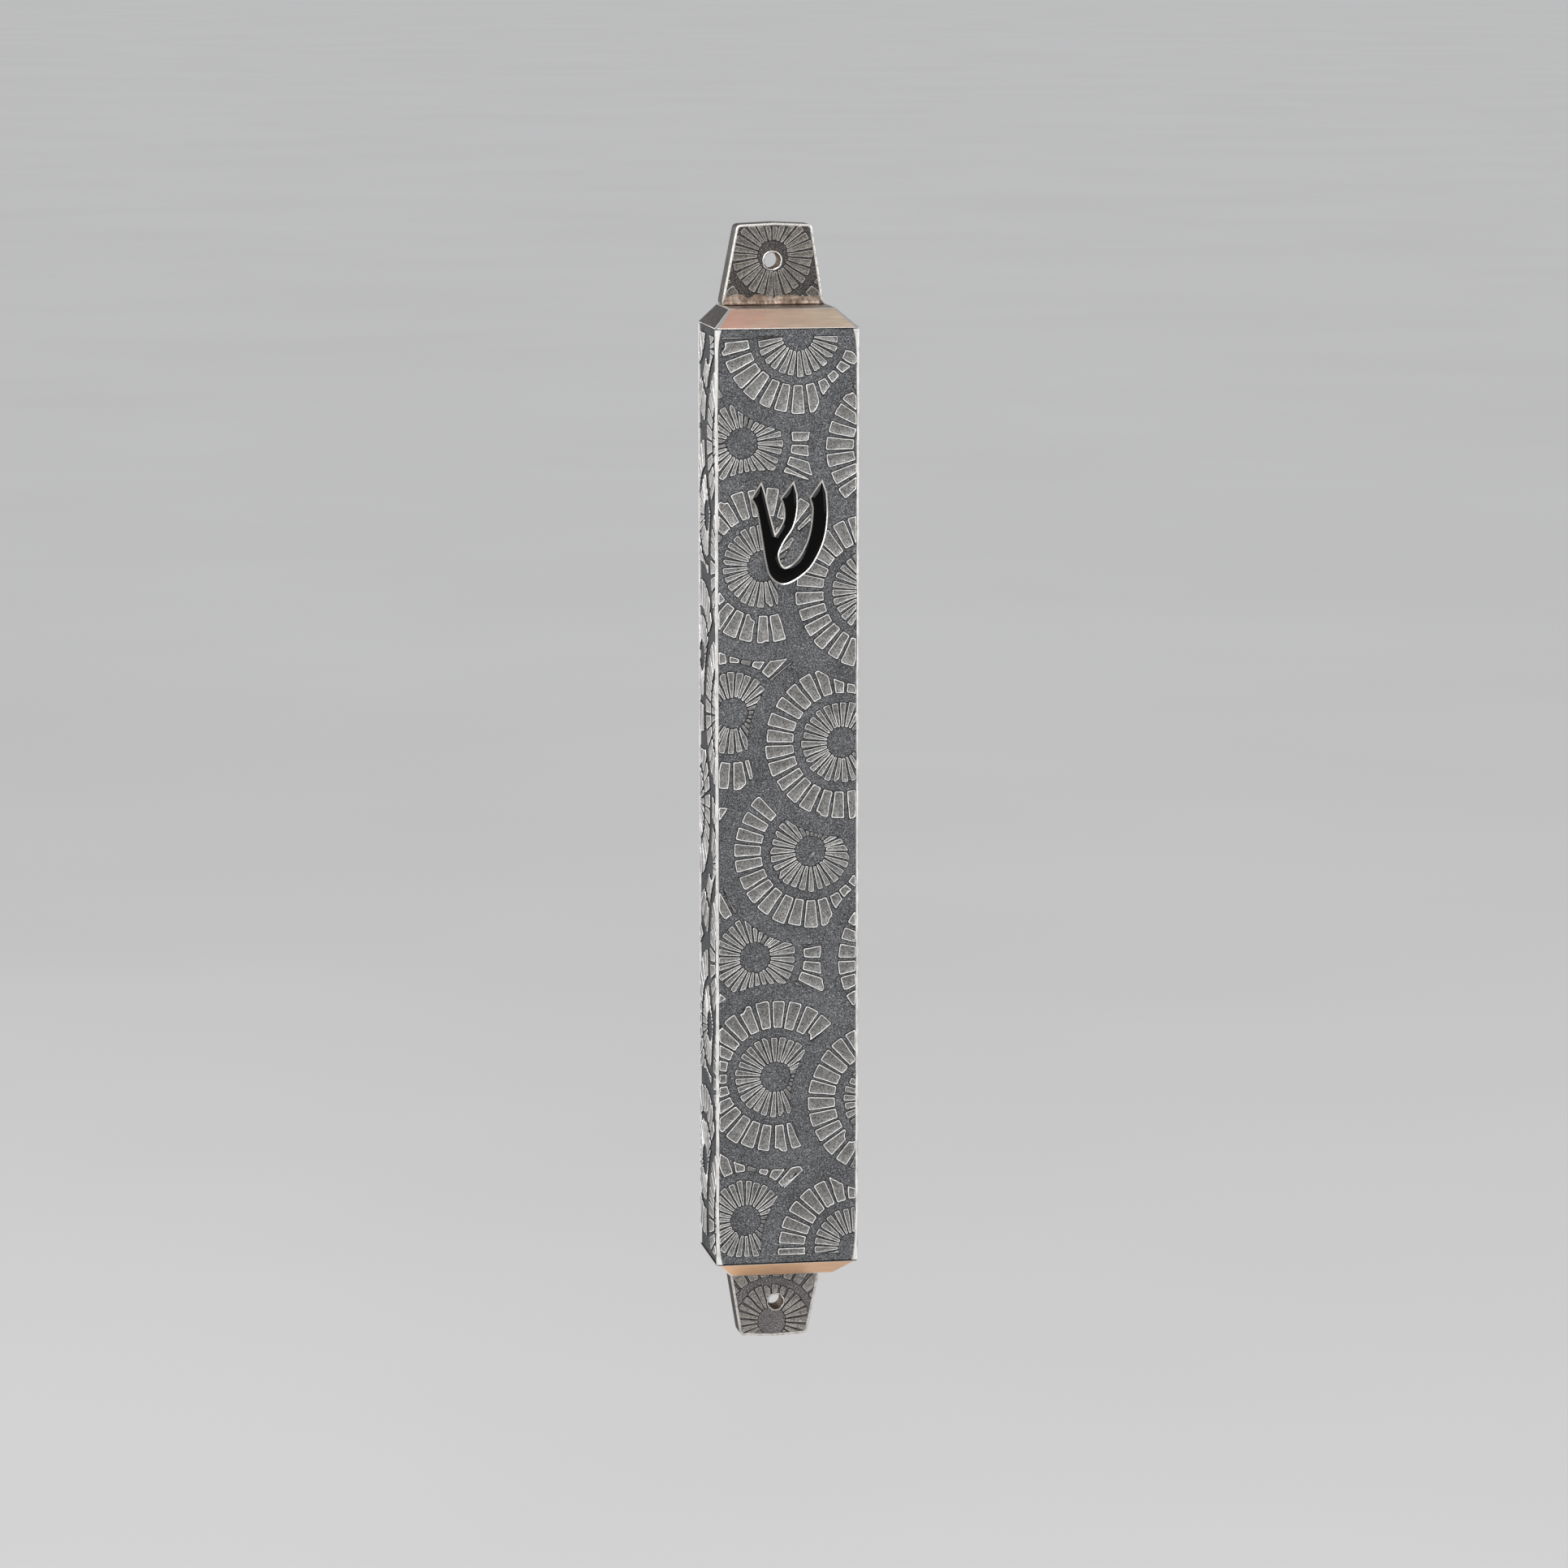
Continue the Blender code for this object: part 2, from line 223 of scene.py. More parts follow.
# Camera, as it stood to the case, and the studio.
CAMERA_YAW = math.radians(9.87)
CAMERA_PITCH = math.radians(8.63)
CAMERA_DISTANCE = 672.1
CAMERA_RIGHT = 1.65
CAMERA_UP = 0.2
CAMERA_LENS = 134.4
FLOOR_Z = -190.0
FLOOR_HALF = 60000.0
FLOOR_SQUARES = 12
SKY_COLOUR = (0.95, 0.965, 1.0)
SKY_STRENGTH = 0.4
SUN_STRENGTH = 1.9
SUN_DEGREES = 50
SUN_WAY = (0.3, 0.5, -1.0)
# name: (place, (width, height), watts, colour, spread in degrees). Each faces the case.
SOFTBOXES = {
    "left_back": ((-520, 900, 150), (700, 900), 0.8, (1.0, 0.98, 0.96), 80),
    "left_front": ((-900, -350, 350), (500, 900), 0.7, (1.0, 0.99, 0.98), 80),
    "right_front": ((560, -900, 260), (260, 700), 1.7, (1.0, 0.99, 0.98), 180),
    "front_key": ((-120, -1080, 300), (200, 420), 2.6, (1.0, 0.99, 0.98), 180),
    "overhead": ((0, -250, 1000), (900, 600), 2.0, (1.0, 0.93, 0.88), 180),
}


# Materials


class Look:
    """A material in the making: its textures are in millimetres and feed one Principled shader."""

    def __init__(self, name):
        self.material = bpy.data.materials.new(name)
        self.material.use_nodes = True
        self.tree = self.material.node_tree
        self.shader = self.tree.nodes["Principled BSDF"]

    def join(self, value, target):
        """Links an output to an input, or sets the input to a number, a list or an (r, g, b)."""
        if isinstance(value, bpy.types.NodeSocket):
            self.tree.links.new(value, target)
        elif isinstance(value, tuple):
            target.default_value = (*value, 1.0)
        else:
            target.default_value = value

    def node(self, kind, inputs):
        made = self.tree.nodes.new("ShaderNode" + kind)
        for name, value in inputs.items():
            self.join(value, made.inputs[name])
        return made

    def place(self, stretch=(1, 1, 1)):
        """Object coordinates in millimetres, stretched along each axis."""
        source = self.node("TexCoord", {}).outputs["Object"]
        scale = [share / MM for share in stretch]
        return self.node("Mapping", {"Vector": source, "Scale": scale}).outputs["Vector"]

    def noise(self, vector, per_mm, detail=3.0, roughness=0.6):
        inputs = {"Vector": vector, "Scale": per_mm, "Detail": detail, "Roughness": roughness}
        return self.node("TexNoise", inputs).outputs["Fac"]

    def ramp(self, value, *stops):
        """A colour ramp from (position, (r, g, b)) stops."""
        made = self.node("ValToRGB", {"Fac": value})
        elements = made.color_ramp.elements
        while len(elements) < len(stops):
            elements.new(0.5)
        for element, (position, colour) in zip(elements, stops):
            element.position = position
            element.color = (*colour, 1.0)
        return made.outputs["Color"]

    def mixed(self, factor, first, second, blend="MIX"):
        """Two colours mixed by a value. The node's type comes before its sockets, which depend on it."""
        made = self.node("Mix", {})
        made.data_type = "RGBA"
        made.blend_type = blend
        for name, value in (("Factor", factor), ("A", first), ("B", second)):
            self.join(value, made.inputs[name])
        return made.outputs["Result"]

    def spread(self, value, low, high, from_low=0.3, from_high=0.7):
        """A value spread from its usual range to low..high."""
        inputs = {"Value": value, "From Min": from_low, "From Max": from_high, "To Min": low, "To Max": high}
        return self.node("MapRange", inputs).outputs["Result"]

    def bump(self, *layers):
        """Chains bump layers, each (height value, height in mm, strength)."""
        inputs = {}
        for height, distance, strength in layers:
            inputs |= {"Height": height, "Distance": distance * MM, "Strength": strength}
            inputs["Normal"] = self.node("Bump", inputs).outputs["Normal"]
        self.join(inputs["Normal"], self.shader.inputs["Normal"])

    def finish(self, colour, roughness, metallic=0.0, others=None):
        """Feeds the shader and returns the material."""
        inputs = {"Base Color": colour, "Roughness": roughness, "Metallic": metallic}
        for name, value in (inputs | (others or {})).items():
            self.join(value, self.shader.inputs[name])
        return self.material


WHOLE = (1.0, 1.0, 1.0)
OXIDE_SHEEN = {"Specular IOR Level": 0.12, "Specular Tint": (0.14, 0.145, 0.15)}


def shade(colour, gain):
    """A colour with each channel multiplied."""
    return tuple(channel * share for channel, share in zip(colour, gain))


def dimmed(colour, share):
    return tuple(channel * share for channel in colour)


def etched_ground(name, gain=WHOLE):
    """The etched floor of the pattern: dark, blue-grey, with a coarse crystalline grain."""
    look = Look(name)
    place = look.place()
    grain = look.noise(place, 7.6, 1.5, 0.7)
    cloud = look.noise(place, 0.3, 2.0)
    speck = look.noise(place, 6.2, 1.0)
    lowest = shade((0.018, 0.0185, 0.02), gain)
    dark = look.ramp(grain, (0.35, lowest), (0.62, shade((0.13, 0.1325, 0.139), gain)))
    light = look.ramp(grain, (0.35, dimmed(lowest, 1.5)), (0.62, shade((0.2, 0.204, 0.212), gain)))
    base = look.mixed(look.spread(cloud, 0.0, 1.0), dark, light)
    glint = look.ramp(speck, (0.56, (0.0, 0.0, 0.0)), (0.72, (0.2, 0.203, 0.21)))
    look.bump((grain, 0.06, 0.7), (speck, 0.05, 0.6))
    return look.finish(look.mixed(1.0, base, glint, "ADD"), look.spread(grain, 0.62, 0.46), 0.6, OXIDE_SHEEN)


def oxide_and_painted_shade():
    """The oxide left in the corners, close round every segment, darkened further as painted shade of the
    narrow gaps.
    """
    look = Look("oxide_and_painted_shade")
    grain = look.noise(look.place(), 4.0, 2.0, 0.7)
    tone = look.ramp(grain, (0.34, (0.014, 0.014, 0.015)), (0.68, (0.085, 0.086, 0.09)))
    look.bump((grain, 0.05, 0.6))
    return look.finish(tone, look.spread(grain, 0.7, 0.5), 0.5, OXIDE_SHEEN)


def segment_top(name, gain=WHOLE):
    """The tops of the segments: worn, mid grey, finely pitted."""
    look = Look(name)
    place = look.place()
    grain = look.noise(place, 6.8, 2.0, 0.65)
    cloud = look.noise(place, 0.5, 2.0)
    dull_tones = (0.065, 0.064, 0.063), (0.27, 0.267, 0.26)
    worn_tones = (0.12, 0.119, 0.116), (0.36, 0.356, 0.347)
    dull, worn = (
        look.ramp(grain, (0.36, shade(low, gain)), (0.64, shade(high, gain)))
        for low, high in (dull_tones, worn_tones)
    )
    look.bump((grain, 0.03, 0.5))
    tone = look.mixed(look.spread(cloud, 0.0, 1.0), dull, worn)
    return look.finish(tone, look.spread(grain, 0.52, 0.36), 0.95)


def bright_metal(name, tone, roughness=0.26, stretch=(1, 1, 1), fade=0.8, metallic=1.0):
    """Polished high spots, edges and folds: bright silver with soft rubbing marks."""
    look = Look(name)
    place = look.place(stretch)
    rub = look.noise(place, 2.2, 4.0, 0.6)
    fine = look.noise(place, 9.0, 2.0)
    colour = look.ramp(rub, (0.34, dimmed(tone, fade)), (0.6, tone))
    look.bump((rub, 0.02, 0.35), (fine, 0.008, 0.35))
    return look.finish(colour, look.spread(rub, roughness + 0.12, roughness - 0.05), metallic)


def painted_reflection_bevel(name, tones):
    """A cap's front bevel: polished, with a painted warm reflection that turns from the first tone to the
    last.
    """
    look = Look(name)
    place = look.place()
    sideways = look.node("SeparateXYZ", {"Vector": place}).outputs["X"]
    across = look.spread(sideways, 0.0, 1.0, -HALF_WIDTH, HALF_WIDTH)
    patch = look.noise(place, 0.45, 3.0)
    fine = look.noise(look.place((0.2, 2.6, 2.6)), 1.6, 3.0)
    shift = look.node("Math", {0: across, 1: look.spread(patch, -0.16, 0.16)})
    shift.operation = "ADD"
    stops = [(index / (len(tones) - 1), tone) for index, tone in enumerate(tones)]
    tone = look.ramp(shift.outputs["Value"], *stops)
    worn = look.mixed(look.spread(fine, 0.0, 0.2), tone, (0.93, 0.84, 0.74))
    look.bump((fine, 0.006, 0.3), (patch, 0.02, 0.15))
    return look.finish(worn, look.spread(fine, 0.42, 0.3), 1.0)


def brushed(name, low, high, stretch, roughness=0.34, metallic=1.0, edge=1.0):
    """Sheet metal rubbed in one direction. edge is how bright it turns at a grazing angle."""
    look = Look(name)
    streak = look.noise(look.place(stretch), 3.0, 5.0, 0.65)
    stain = look.noise(look.place(), 0.16, 4.0)
    streaked = look.ramp(streak, (0.3, low), (0.7, high))
    stained = look.mixed(look.spread(stain, 0.0, 0.45, 0.45, 0.75), streaked, dimmed(low, 0.55))
    look.bump((streak, 0.02, 0.4), (stain, 0.06, 0.15))
    rough = look.spread(streak, roughness + 0.12, roughness - 0.08)
    return look.finish(stained, rough, metallic, {"Specular Tint": (edge, edge, edge)})


def solder_metal():
    """Solder: lumpy and greyish, with a brown tone that is a painted warm reflection."""
    look = Look("solder")
    place = look.place()
    lump = look.noise(place, 1.4, 4.0)
    pit = look.noise(place, 6.0, 2.0)
    tones = (0.32, (0.09, 0.064, 0.048)), (0.5, (0.2, 0.15, 0.118)), (0.68, (0.36, 0.295, 0.245))
    look.bump((lump, 0.08, 0.5), (pit, 0.03, 0.5))
    return look.finish(look.ramp(lump, *tones), look.spread(pit, 0.5, 0.3), 1.0)


def hole_stain():
    """The nail holes' walls: brown with old oxide and dirt."""
    look = Look("hole_stain")
    crust = look.noise(look.place(), 3.0, 4.0)
    tone = look.ramp(crust, (0.35, (0.05, 0.03, 0.02)), (0.7, (0.3, 0.2, 0.13)))
    look.bump((crust, 0.05, 0.5))
    return look.finish(tone, look.spread(crust, 0.75, 0.5), 0.5)


def black_enamel():
    """Glossy black vitreous enamel with a faint ripple and a few pin-holes."""
    look = Look("black_enamel")
    place = look.place()
    ripple = look.noise(place, 0.9, 2.0)
    fleck = look.noise(place, 7.0, 1.0)
    tone = look.ramp(fleck, (0.66, (0.0018, 0.0018, 0.002)), (0.8, (0.012, 0.011, 0.01)))
    look.bump((ripple, 0.03, 0.25))
    return look.finish(tone, look.spread(ripple, 0.1, 0.05), 0.0, {"IOR": 1.5, "Specular IOR Level": 0.08})


def fibre_sheet(name, low, high, stretch, roughness, mottling):
    """Parchment or paper: fibres, mottling and a slightly uneven face."""
    look = Look(name)
    fibre = look.noise(look.place(stretch), 2.4, 5.0, 0.7)
    blotch = look.noise(look.place(), mottling, 4.0)
    base = look.mixed(look.spread(blotch, 0.0, 1.0), low, high)
    shaded = look.mixed(look.spread(fibre, 0.25, 0.0), base, dimmed(low, 0.7))
    look.bump((fibre, 0.03, 0.4), (blotch, 0.08, 0.2))
    rough = look.spread(fibre, roughness + 0.1, roughness - 0.1)
    return look.finish(shaded, rough, 0.0, {"Sheen Weight": 0.1})


def floor_material():
    """Plain pale studio floor with the faintest unevenness."""
    look = Look("studio_floor")
    drift = look.noise(look.place(), 0.004, 2.0)
    return look.finish(look.ramp(drift, (0.3, (0.55, 0.547, 0.543)), (0.7, (0.57, 0.568, 0.565))), 0.85)


# Mesh helpers


def finished(name, maker, finishes, body, replaced=(), smooth_degrees=40):
    """Makes a bmesh in millimetres a piece that rides on a CAD body."""
    bmesh.ops.recalc_face_normals(maker, faces=maker.faces)
    bmesh.ops.scale(maker, vec=(MM, MM, MM), verts=maker.verts)
    mesh = bpy.data.meshes.new(name)
    maker.to_mesh(mesh)
    maker.free()
    for finish in finishes:
        mesh.materials.append(finish)
    mesh.shade_smooth()
    mesh.set_sharp_from_angle(angle=math.radians(smooth_degrees))
    made = bpy.data.objects.new(name, mesh)
    bpy.context.scene.collection.objects.link(made)
    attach(made, body)
    if replaced:
        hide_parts(*replaced)


def ring_of(maker, points):
    return [maker.verts.new(point) for point in points]


def bridge(maker, low, high, finish=0):
    """Quads between two loops of equal length. finish may be a function of the quad's number."""
    for index in range(len(low)):
        after = (index + 1) % len(low)
        face = maker.faces.new((low[index], low[after], high[after], high[index]))
        face.material_index = finish(index) if callable(finish) else finish


def skin(maker, loops, finish=0):
    """Bridges every loop to the next."""
    for low, high in zip(loops, loops[1:]):
        bridge(maker, low, high, finish)


def ends(maker, loops):
    """Closes the first and the last loop, each with one face."""
    maker.faces.new(loops[0])
    maker.faces.new(loops[-1])


def rounded(corners, steps):
    """The outline through (x, y, radius) corners, each rounded by an arc of steps + 1 points."""
    outline = []
    count = len(corners)
    for index, (x, y, radius) in enumerate(corners):
        here = Vector((x, y))
        before = (Vector(corners[index - 1][:2]) - here).normalized()
        after = (Vector(corners[(index + 1) % count][:2]) - here).normalized()
        half_angle = before.angle(after) / 2
        middle = here + (before + after).normalized() * (radius / math.sin(half_angle))
        reach = radius / math.tan(half_angle)
        start = here + before * reach - middle
        turn = start.angle_signed(here + after * reach - middle)
        for step in range(steps + 1):
            cosine = math.cos(turn * step / steps)
            sine = math.sin(turn * step / steps)
            turned = Vector((start.x * cosine + start.y * sine, start.y * cosine - start.x * sine))
            outline.append(middle + turned)
    return outline


def sides(outline):
    """Each point of a closed outline with the next one."""
    return zip(outline, outline[1:] + outline[:1])


def area(outline):
    """The area inside a closed outline, below 0 if it runs clockwise."""
    return sum(a.x * b.y - b.x * a.y for a, b in sides(outline)) / 2


def offset_outline(outline, distance, least_mitre=0.4):
    """A closed (x, y) outline moved inwards by distance. least_mitre blunts its sharpest corners."""
    side = 1 if area(outline) > 0 else -1
    moved = []
    for index, here in enumerate(outline):
        into = (here - outline[index - 1]).normalized().orthogonal()
        out = (outline[(index + 1) % len(outline)] - here).normalized().orthogonal()
        across = (into + out).normalized()
        moved.append(here + across * (side * distance / max(across.dot(out), least_mitre)))
    return moved


def wobble(place, size, amount):
    """Smooth noise of an (x, y, z) place: lumps of that size, amount high at most."""
    return amount * noise.noise(Vector(place) / size)


def spoke(angle, length=1.0):
    """The (x, y) end of a spoke from 0 at that angle."""
    return Vector((math.cos(angle), math.sin(angle))) * length


# Etched relief


def on_front(u, z, height):
    return Vector((u, FRONT + RELIEF - height, z))


def on_left(u, z, height):
    return Vector((-HALF_WIDTH + RELIEF - height, FRONT - HALF_WIDTH - u, z))


def on_right(u, z, height):
    return Vector((HALF_WIDTH - RELIEF + height, FRONT - HALF_WIDTH + u, z))


def clip_to_rectangle(start, end, rectangle):
    """The stretch of the line start..end inside the rectangle (low u, low z, high u, high z)."""
    low, high = 0.0, 1.0
    way = end - start
    for origin, step, least, most in (
        (start.x, way.x, rectangle[0], rectangle[2]),
        (start.y, way.y, rectangle[1], rectangle[3]),
    ):
        if abs(step) < 1e-9:
            if not least <= origin <= most:
                return 0.0, 0.0
            continue
        first, second = sorted(((least - origin) / step, (most - origin) / step))
        low = max(low, first)
        high = min(high, second)
    return (low, high) if high > low else (0.0, 0.0)


def clip_from_circle(start, end, span, centre, radius):
    """The longer stretch of the line start..end outside the circle."""
    way = end - start
    away = start - centre
    a = way.dot(way)
    b = 2 * away.dot(way)
    c = away.dot(away) - radius * radius
    under_root = b * b - 4 * a * c
    if under_root <= 0:
        return span
    root = math.sqrt(under_root)
    before = (span[0], min(span[1], (-b - root) / (2 * a)))
    behind = (max(span[0], (-b + root) / (2 * a)), span[1])
    left = [part for part in (before, behind) if part[1] > part[0]]
    return max(left, key=lambda part: part[1] - part[0]) if left else (0.0, 0.0)


class Segment:
    """One raised wedge of a ring, cut by whatever lies in front of it."""

    LINES = (0.0, 0.07, 0.3, 0.5, 0.7, 0.93, 1.0)
    SIDE_POINTS = 2
    SHORTEST_LINE = 0.16
    LEAST_WIDTHS = 0.12
    CORNER = 0.13
    SHAKE = 0.032
    TRIALS = 16
    HALVINGS = 6

    def __init__(self, centre, angle, ring, gaps, pitch, rectangle, masks, chance):
        self.centre = centre
        self.angle = angle + chance.uniform(-0.012, 0.012)
        self.inner = ring[0] + chance.uniform(-0.05, 0.07)
        self.outer = ring[1] + chance.uniform(-0.14, 0.08)
        self.half_inner = (pitch * self.inner - gaps[0] * chance.uniform(0.8, 1.3)) / 2
        self.half_outer = (pitch * self.outer - gaps[1] * chance.uniform(0.75, 1.3)) / 2
        self.rectangle = rectangle
        self.masks = masks
        self.rim = INNER_RIM if ring[0] < (INNER_RING[0] + OUTER_RING[0]) / 2 else OUTER_RIM
        # One draw more than the outline has points: the pattern was tuned with it.
        count = 2 * len(self.LINES) + 2 * self.SIDE_POINTS + 1
        self.jitter = [chance.uniform(-1, 1) for _ in range(count)]

    def line(self, share, inset):
        """The radial line at that share of the width: its two ends after clipping, or None."""
        side = 2 * share - 1
        low = self.inner + inset
        high = self.outer - inset
        start_angle = self.angle + max(self.half_inner - inset, 0.0) * side / low
        end_angle = self.angle + max(self.half_outer - inset, 0.0) * side / high
        start = self.centre + spoke(start_angle, low)
        end = self.centre + spoke(end_angle, high)
        least_u, least_z, most_u, most_z = self.rectangle
        box = (least_u + inset, least_z + inset, most_u - inset, most_z - inset)
        span = clip_to_rectangle(start, end, box)
        for centre, radius in self.masks:
            if span[1] > span[0]:
                span = clip_from_circle(start, end, span, centre, radius + inset)
        way = end - start
        if (span[1] - span[0]) * way.length < self.SHORTEST_LINE:
            return None
        return start + way * span[0], start + way * span[1]

    def shares(self, inset):
        """The widest run of shares whose lines survive, its ends found by halving, or None."""
        step = 1 / self.TRIALS
        runs = [[]]
        for index in range(self.TRIALS + 1):
            if self.line(index * step, inset) is None:
                runs.append([])
            else:
                runs[-1].append(index * step)
        best = max(runs, key=len)
        if not best:
            return None
        low, high = best[0], best[-1]
        if low > 0:
            low = self.halve(low - step, low, inset)
        if high < 1:
            high = self.halve(high + step, high, inset)
        return low, high

    def halve(self, dead, live, inset):
        for _ in range(self.HALVINGS):
            middle = (dead + live) / 2
            if self.line(middle, inset) is None:
                dead = middle
            else:
                live = middle
        return live

    def loop(self, inset):
        """The segment's outline as (u, z), moved inwards by inset, or None where nothing is left."""
        found = self.shares(inset)
        if found is None:
            return None
        low, high = found
        lines = [self.line(low + (high - low) * share, inset) for share in self.LINES]
        if None in lines:
            return None
        if (lines[-1][0] - lines[0][0]).length + (lines[-1][1] - lines[0][1]).length < self.LEAST_WIDTHS:
            return None
        for index in (0, -1):
            start, end = lines[index]
            way = end - start
            cut = way.normalized() * min(self.CORNER, way.length * 0.3)
            lines[index] = (start + cut, end - cut)
        bottoms = [start for start, _ in lines]
        tops = [end for _, end in lines]
        marks = [(index + 1) / (self.SIDE_POINTS + 1) for index in range(self.SIDE_POINTS)]
        right = [bottoms[-1].lerp(tops[-1], mark) for mark in marks]
        left = [tops[0].lerp(bottoms[0], mark) for mark in marks]
        points = bottoms + right + tops[::-1] + left
        lean = self.jitter[0]
        shaken = [p + Vector((shake, lean * shake)) * self.SHAKE for p, shake in zip(points, self.jitter)]
        return shaken[::-1]

    def rings(self, place, section, least_area):
        """The outline in space at each (inset, height) of the section, as far as it survives."""
        found = []
        for inset, height in section:
            points = self.loop(inset)
            if points is None or area(points) < least_area:
                break
            found.append([place(point.x, point.y, height) for point in points])
        return found


# The materials of a channel and of a relief, by number. A relief has the oxide and painted shade for its
# ground.
GROUND, TOP, RIM, PLAIN = range(4)
LEAST_AREA = 0.02
LEAST_CREST_AREA = 0.05


def raise_segment(maker, segment, place):
    """Adds one segment: sloping walls, a bright crest round it and a slightly sunk top."""
    crest = ((segment.rim, RELIEF - 0.004), (segment.rim + TOP_SINK[0], RELIEF - TOP_SINK[1]))
    outer = segment.rings(place, SKIRT + WALLS, LEAST_AREA)
    if len(outer) <= len(SKIRT):
        return
    inner = []
    if len(outer) == len(SKIRT + WALLS):
        inner = segment.rings(place, crest, LEAST_CREST_AREA)
    verts = [ring_of(maker, loop) for loop in outer]
    maker.faces.new(verts[0][::-1]).material_index = GROUND
    skin(maker, verts[: len(SKIRT) + 1], GROUND)
    skin(maker, verts[len(SKIRT) :], RIM)
    last = verts[-1]
    if len(inner) == len(crest):
        edge, last = (ring_of(maker, loop) for loop in inner)
        bridge(maker, verts[-1], edge, RIM)
        bridge(maker, edge, last, TOP)
    maker.faces.new(last).material_index = TOP


def laid_rosettes():
    """Every rosette that reaches the sheet, as (centre, order); a larger order lies in front."""
    found = []
    for u, z, column, rank in ROSETTES:
        for up in range(-3, 4):
            for right in range(-2, 3):
                centre = Vector((u, z)) + STEP_UP * up + STEP_RIGHT * right
                if abs(centre.x) < HALF_WIDTH + DEPTH + CLEAR_RADIUS and abs(centre.y) < PATTERN_HEIGHT:
                    found.append((centre, (column + 2 * right, rank, -up)))
    return found


def rosette_segments(centre, rectangle, masks, chance, rings, count):
    """The segments of one rosette that touch the rectangle, some with a chip out of a corner."""
    low_u, low_z, high_u, high_z = rectangle
    pitch = math.tau / count
    for ring, gaps in rings:
        turn = chance.uniform(0, pitch)
        middle = (ring[0] + ring[1]) / 2
        for index in range(count):
            angle = turn + pitch * index
            spot = centre + spoke(angle, middle)
            chip = chance.random()
            chip_side = chance.choice((-1, 1))
            if not (
                low_u - NEARBY < spot.x < high_u + NEARBY and low_z - NEARBY < spot.y < high_z + NEARBY
            ):
                continue
            near = [mask for mask in masks if (mask[0] - spot).length < mask[1] + NEARBY]
            if chip < CHIPPED:
                reach = ring[1] if chip < CHIPPED_OUTSIDE else ring[0]
                across = Vector((-math.sin(angle), math.cos(angle)))
                corner = centre + spoke(angle, reach) + across * (chip_side * CHIP_OFFSET)
                near.append((corner, CHIP_RADIUS + CHIP_GROWTH * chip))
            yield Segment(centre, angle, ring, gaps, pitch, rectangle, near, chance)


def raise_speck(maker, speck, place):
    """One small rounded bump."""
    u, z, half_length, half_width, degrees = speck
    turn = math.radians(degrees)
    steps = 16
    loops = []
    for share, height in ((1.15, -0.03), (0.95, RELIEF * 0.6), (0.6, RELIEF * 0.95)):
        points = []
        for step in range(steps):
            way = spoke(math.tau * step / steps, share)
            along = half_length * way.x
            across = half_width * way.y
            sideways = along * math.cos(turn) - across * math.sin(turn)
            upward = along * math.sin(turn) + across * math.cos(turn)
            points.append(place(u + sideways, z + upward, height))
        loops.append(ring_of(maker, points))
    maker.faces.new(loops[0][::-1]).material_index = TOP
    skin(maker, loops, TOP)
    maker.faces.new(loops[-1]).material_index = TOP


def make_relief(name, place, rectangle, finishes, seed, specks=()):
    """The raised pattern on one face of the case."""
    chance = random.Random(seed)
    made = bmesh.new()
    laid = laid_rosettes()
    rings = ((INNER_RING, INNER_GAPS), (OUTER_RING, OUTER_GAPS))
    for centre, order in laid:
        masks = [(other, CLEAR_RADIUS) for other, rank in laid if rank > order and other != centre]
        for segment in rosette_segments(centre, rectangle, masks, chance, rings, SEGMENTS):
            raise_segment(made, segment, place)
    for speck in specks:
        raise_speck(made, speck, place)
    finished(name, made, finishes, "case")


# Case body


def channel_profile(z):
    """The folded sheet's outline at one height, with what each stretch is made of."""
    flare = FLARE * math.exp((abs(z) - HALF_HEIGHT) / FLARE_REACH)
    strip = FRONT_STRIP + flare + wobble((0, 1, z), 3.0, 0.05)
    side_strip = SIDE_STRIP + flare / 2 + wobble((0, 5, z), 2.5, 0.04)
    back_strip = BACK_STRIP + wobble((0, 9, z), 2.0, 0.06)
    half = [
        (-HALF_WIDTH + 0.12, 0.0, RIM),
        (-HALF_WIDTH, -0.12, RIM),
        (-HALF_WIDTH, -back_strip, RIM),
        (-HALF_WIDTH + RELIEF, -back_strip - STRIP_EDGE, GROUND),
        (-HALF_WIDTH + RELIEF, FRONT + side_strip + STRIP_EDGE, RIM),
    ]
    fold = Vector((-HALF_WIDTH + FOLD_RADIUS, FRONT + FOLD_RADIUS))
    for step in range(FOLD_STEPS + 1):
        point = fold + spoke(math.pi + math.pi / 2 * step / FOLD_STEPS, FOLD_RADIUS)
        half.append((point.x, point.y, RIM))
    half.append((-HALF_WIDTH + strip, FRONT + 0.004, RIM))
    half.append((-HALF_WIDTH + strip + STRIP_EDGE, FRONT + RELIEF, GROUND))
    marks = [mark for _, _, mark in half]
    marks += marks[-2::-1] + [PLAIN]
    inner = HALF_WIDTH - SHEET
    inner_front = FRONT + SHEET
    outline = [(x, y) for x, y, _ in half] + [(-x, y) for x, y, _ in reversed(half)]
    outline += [(inner, 0.0), (inner, inner_front), (-inner, inner_front), (-inner, 0.0)]
    return outline, marks + [PLAIN] * 4


